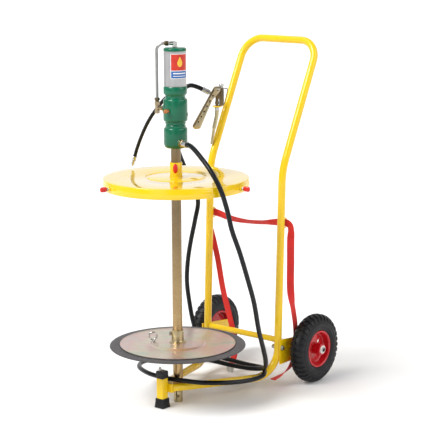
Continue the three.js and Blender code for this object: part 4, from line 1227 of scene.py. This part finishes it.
def hand_screw(node, angle, z, start, grip_at, grip_r, grip_length):
    """A clamp screw with a flattened red grip. The metal and the plastic are separate pieces of one body."""
    r, end = grip_r, grip_length
    outline = [(0, 0), (r * 0.5, 0), (r * 0.62, 0.8), (r * 0.9, 2.6), (r, 5), (r, end - 7),
               (r * 0.93, end - 4), (r * 0.75, end - 1.4), (r * 0.5, end - 0.2), (0, end)]
    grip = placed(lathe(outline, 56, 0.5), roll=angle)
    out = across(angle)
    piece(f"{node}_grip", placed(grip, out * grip_at + Z * z, out), RED_PLASTIC, node, body=node, sharp=40)
    shank = joined(rod(3.5, start, grip_at + 1, 0.8, 28), helix(3.6, start + 1, grip_at - 3.5, 1.25, 0.45),
                   lathe([(0, grip_at - 3), (5.4, grip_at - 3), (5.8, grip_at - 2.4), (5.8, grip_at + 0.6),
                          (0, grip_at + 0.6)], 36))
    piece(f"{node}_thread", placed(shank, Z * z, out), BRIGHT_ZINC, body=node)


# ----------------------------------------------------------- follower plate


def build_follower():
    z = PLATE_Z
    outline = [
        (18.5, z + 2), (93, z + 2), (96, z + 1.6), (99, z), (102, z - 2.4), (105, z - 3), (200, z - 3),
        (203.5, z - 2.6), (206, z - 1.4), (208, z - 1), (208, z - 3), (205, z - 3.6), (202, z - 5),
        (104, z - 5), (100, z - 4.2), (97, z - 1.8), (93, z), (18.5, z),
    ]
    piece("follower_plate_disc", lathe(outline, 160), PLATE_FILM, "follower_disc", body="follower", sharp=40)
    lip = lathe([
        (150, z - 5.3), (209, z - 5.3), (222, z - 5.4), (236, z - 5.8), (243, z - 6.4), (244.8, z - 7.4),
        (245, z - 8.3), (244.4, z - 9.2), (243, z - 9.8), (230, z - 9.6), (208, z - 9.3), (150, z - 9.3),
    ], 160)
    piece("follower_wiper", lip, LIP_RUBBER, "follower_lip", body="follower", sharp=40)

    hub = lathe([
        (SLIDE_R, z + 2.4), (29.4, z + 2.4), (30, z + 3), (29.6, z + 4.6), (26, z + 5.4), (23.4, z + 6.6),
        (22.2, z + 9), (22, z + 12), (22, z + 46), (21.4, z + 48.2), (20, z + 49), (18.7, z + 49),
        (SLIDE_R, z + 48.4),
    ], 72)
    facing = across(SET_SCREW_ANGLE)
    boss = placed(lathe([(4.3, 20), (8, 21), (7.6, 24.6), (4.3, 24.6)], 36), Z * SET_SCREW_Z, facing)
    bead = weld((0, 0, z + 3), Z, 29.6, 1.1)
    piece("follower_hub_turned", joined(hub, boss, bead), ZINC_FILM, "follower_hub", body="follower",
          sharp=34)
    screw = joined(rod(3.6, SLIDE_R, 28, 0.5, 28), hexagon(7, 25, 31))
    piece("hub_set_screw_hex", placed(screw, Z * SET_SCREW_Z, facing), ZINC, "hub_set_screw",
          body="hub_set_screw")

    at = Vector((-73, -52, z + 2.3))
    ring = placed(stood_up(torus(14, 3.3, 72, 20)), Z * 20, roll=39)
    foot = lathe([(0, 0), (8.6, 0), (8.8, 0.6), (8.4, 2), (5.6, 2.6), (4.4, 5), (4.6, 7.6), (0, 8)], 40)
    piece("plate_lifting_eye", placed(joined(ring, foot), at), BRIGHT_ZINC, "lifting_eye", body="follower",
          sharp=40)


# ---------------------------------------------------------------- hand gun


def build_gun():
    barrel = lathe([
        (0, 1026), (7.4, 1026), (9, 1027.4), (9, 1034), (8.2, 1034.8), (8.2, 1037), (9, 1037.8), (9, 1083),
        (8.2, 1084), (8.2, 1086), (9, 1087), (9, 1092.8), (8, 1094), (0, 1094),
    ], 48)
    body = [placed(barrel, BARREL_AT)]
    lug_plate = plate([(-17, 1056), (5, 1050), (5, 1080), (-8, 1084), (-17, 1074)], 14, (), 1.4)
    ear = plate([(-10, 1080), (-1, 1080), (-1, 1093), (-3, 1096), (-8, 1096), (-10, 1093)], 8,
                [(*LEVER_PIN, 3.2)], 0.5)
    body += [stood_up(lug_plate), stood_up(ear)]
    inlet = joined(rod(6, 2, 27.4, 0.6, 36), hexagon(7.4, 14, 23))
    body.append(placed(inlet, (6, 0, 1052), Y))
    body.append(placed(joined(rod(6, 1022, 1060, 0.5, 36), hexagon(7.6, 1032, 1041)), NOZZLE_AT))
    piece("gun_valve_body", gun_placed(joined(*body)), DARK_FILM, "gun_body")

    cap = joined(rod(6, 1094.3, 1100, 0.3, 36), hexagon(9.6, 1099, 1106),
                 lathe([(0, 1105), (8.4, 1105.4), (8.8, 1107), (7.4, 1109.2), (4, 1110), (0, 1110)], 40))
    piece("gun_cap_hex", gun_placed(placed(cap, BARREL_AT)), BRIGHT_ZINC, "gun_cap")
    build_lever()

    head = lathe([(0, 12), (4.4, 12), (4.2, 13.4), (2.6, 14), (0, 14)], 32)
    tail = lathe([(0, -14), (2.6, -14), (4.2, -13.4), (4.4, -12.1), (0, -12.1)], 32)
    pin = joined(rod(2.9, -12.4, 12.4, 0.3, 28), head, tail)
    piece("gun_pivot_pin", gun_placed(placed(pin, (LEVER_PIN[0], 0, LEVER_PIN[1]), Y)), ZINC, "lever_pin")

    strip_line = bent([((15.4, 0, 1090), 0), ((29.4, 0, 1092.6), 5), ((18.6, 0, 1040), 12),
                       ((14.8, 0, 1033), 0)], 10)
    strip = sweep(strip_line, [(-6, -1.2), (6, -1.2), (6, 1.2), (-6, 1.2)], first_side=Y)
    piece("gun_guard_strip", gun_placed(strip), BLACK_PLASTIC, "gun_guard", sharp=28, bevel=0.4)

    nipple = placed(joined(hexagon(9, 1008, 1019), rod(6.4, 1018, 1021.7, 0.4, 36)), NOZZLE_AT)
    piece("gun_nipple_hex", gun_placed(nipple), BRIGHT_ZINC)
    wide = sweep(bent([(NOZZLE_AT + Z * 1009, 0), ((-14, 0, 985), 60), ((-24, 0, 940), 0)], 2),
                 circle(7.4, 32))
    down = Vector((-9.2, 0, -61)).normalized()
    narrow = lathe([(0, -2), (7.4, -2), (7.4, 0), (5.6, 3), (5.4, 5), (5.4, 46), (5, 46.6), (5, 50),
                    (5.5, 50.6), (5.5, 61), (4.9, 61.7), (0, 61.7)], 36)
    rest = placed(narrow, (-23.8, 0, 941), down)
    piece("gun_extension_tube", gun_placed(joined(wide, rest)), ZINC_FILM, "gun_extension")


def build_lever():
    """A pressed channel: two cheeks, one of them drilled, a web across their backs, and a dark sheet inside
    that is painted shade.
    """
    top, low = Vector((-26, 0, 1090)), Vector((-104.6, 0, 949))
    outline = [(0, 1096), (-3, 1097), (-16, 1098), (-22, 1096), (-26, 1091), (-105, 950), (-104, 944),
               (-96, 938), (-80, 939.4), (-75, 943), (-73, 947), (-30, 1046), (1, 1083), (1, 1093)]
    holes = [(*LEVER_PIN, 3.3)]
    for share in (0.14, 0.28, 0.42, 0.56, 0.70, 0.84):
        x, z = top.x + (low.x - top.x) * share, top.z + (low.z - top.z) * share
        holes.append((x + 9.6, z - 5.4, 3.2))
    pivot_hole = holes[0]
    cheeks = []
    for side, drilled in ((-1, holes), (1, [pivot_hole])):
        cheeks.append(placed(stood_up(plate(outline, 1.8, drilled, 0.35)), Y * (side * 11.1)))
    inward = Vector((0.873, 0, -0.487))
    web_line = [top + inward * 1.1, low + inward * 1.1]
    web = sweep(web_line, [(-11.9, -0.9), (11.9, -0.9), (11.9, 0.9), (-11.9, 0.9)], first_side=Y)
    piece("gun_lever_channel", gun_placed(joined(*cheeks, web)), LEVER_FILM, "gun_lever", body="gun_lever",
          sharp=28)
    # A thin near-black sheet on the inside of the far cheek: painted shade, so the channel looks dark through
    # the drilled holes.
    painted_shade_sheet = stood_up(plate([(-8, 1076), *outline[4:9], (-77, 948), (-34, 1046)], 0.6, (), 0.1))
    painted_shade_sheet = placed(painted_shade_sheet, Y * 9.6)
    piece("gun_lever_painted_shade", gun_placed(painted_shade_sheet), SHADED_FILM, body="gun_lever")
    edges = []
    for low_y, high_y in ((-12.5, -12.05), (12.05, 12.5)):
        band = [top + inward * 0.3, low + inward * 0.3]
        edges.append(sweep(band, [(low_y, 0), (high_y, 0), (high_y, 6), (low_y, 6)], first_side=Y))
    piece("gun_lever_edges", gun_placed(joined(*edges)), DARK_FILM, body="gun_lever")


# -------------------------------------------------------- floor and lights


def build_floor():
    mesh = bpy.data.meshes.new("studio_floor")
    side = 60
    mesh.from_pydata([(-side, -side, 0), (side, -side, 0), (side, side, 0), (-side, side, 0)], [],
                     [(0, 1, 2, 3)])
    look = Look("studio_floor", {"Roughness": 0.9, "Specular IOR Level": 0.1})
    look.colour(look.ramp(look.noise(0.4, 2), (0.3, 0.92), (0.7, 0.94)))
    mesh.materials.append(look.material)
    linked("studio_floor", mesh)


def build_light():
    """A white backdrop, a darker room with two softboxes in front of it, and two soft suns."""
    world = bpy.data.worlds.new("studio")
    bpy.context.scene.world = world
    world.use_nodes = True
    sky = Nodes(world.node_tree, "Generated")
    turned = sky.fill(sky.node("ShaderNodeMapping"), Vector=sky.place, Rotation=(0, 0, math.radians(-39.4)))
    to_side, to_back = sky.axes(turned.outputs["Vector"])[:2]
    front = sky.ramp(sky.sums("MULTIPLY_ADD", to_side, 0.5, 0.5), (0.0, 0.5), (0.14, 0.2), (0.24, 1.0),
                     (0.34, 1.0), (0.44, 0.25), (0.68, 0.2), (0.78, 0.75), (0.9, 0.2))
    behind = sky.node("ShaderNodeMapRange", interpolation_type="SMOOTHSTEP")
    sky.fill(behind, Value=to_back, From_Min=0.5, From_Max=0.85)
    seen = sky.node("ShaderNodeLightPath").outputs["Is Camera Ray"]
    white = sky.sums("MAXIMUM", behind.outputs["Result"], seen)
    sky.put(sky.mix(white, front, (1, 1, 1)), sky.tree.nodes["Background"].inputs["Color"])

    for name, power, tilt, turn_z, soft in (("key_sun", 2.9, 44, -20, 30), ("fill_sun", 1.2, 60, 109, 50)):
        data = bpy.data.lights.new(name, "SUN")
        data.energy = power
        data.angle = math.radians(soft)
        sun = linked(name, data)
        sun.rotation_euler = (math.radians(tilt), 0, math.radians(turn_z))
    bpy.context.scene.view_settings.view_transform = "Standard"
    bpy.context.scene.view_settings.look = "None"


make_camera()
build_hoses()
build_strap()
build_frame()
build_axle()
build_pump()
build_air_side()
build_cover()
build_follower()
build_gun()
build_floor()
build_light()
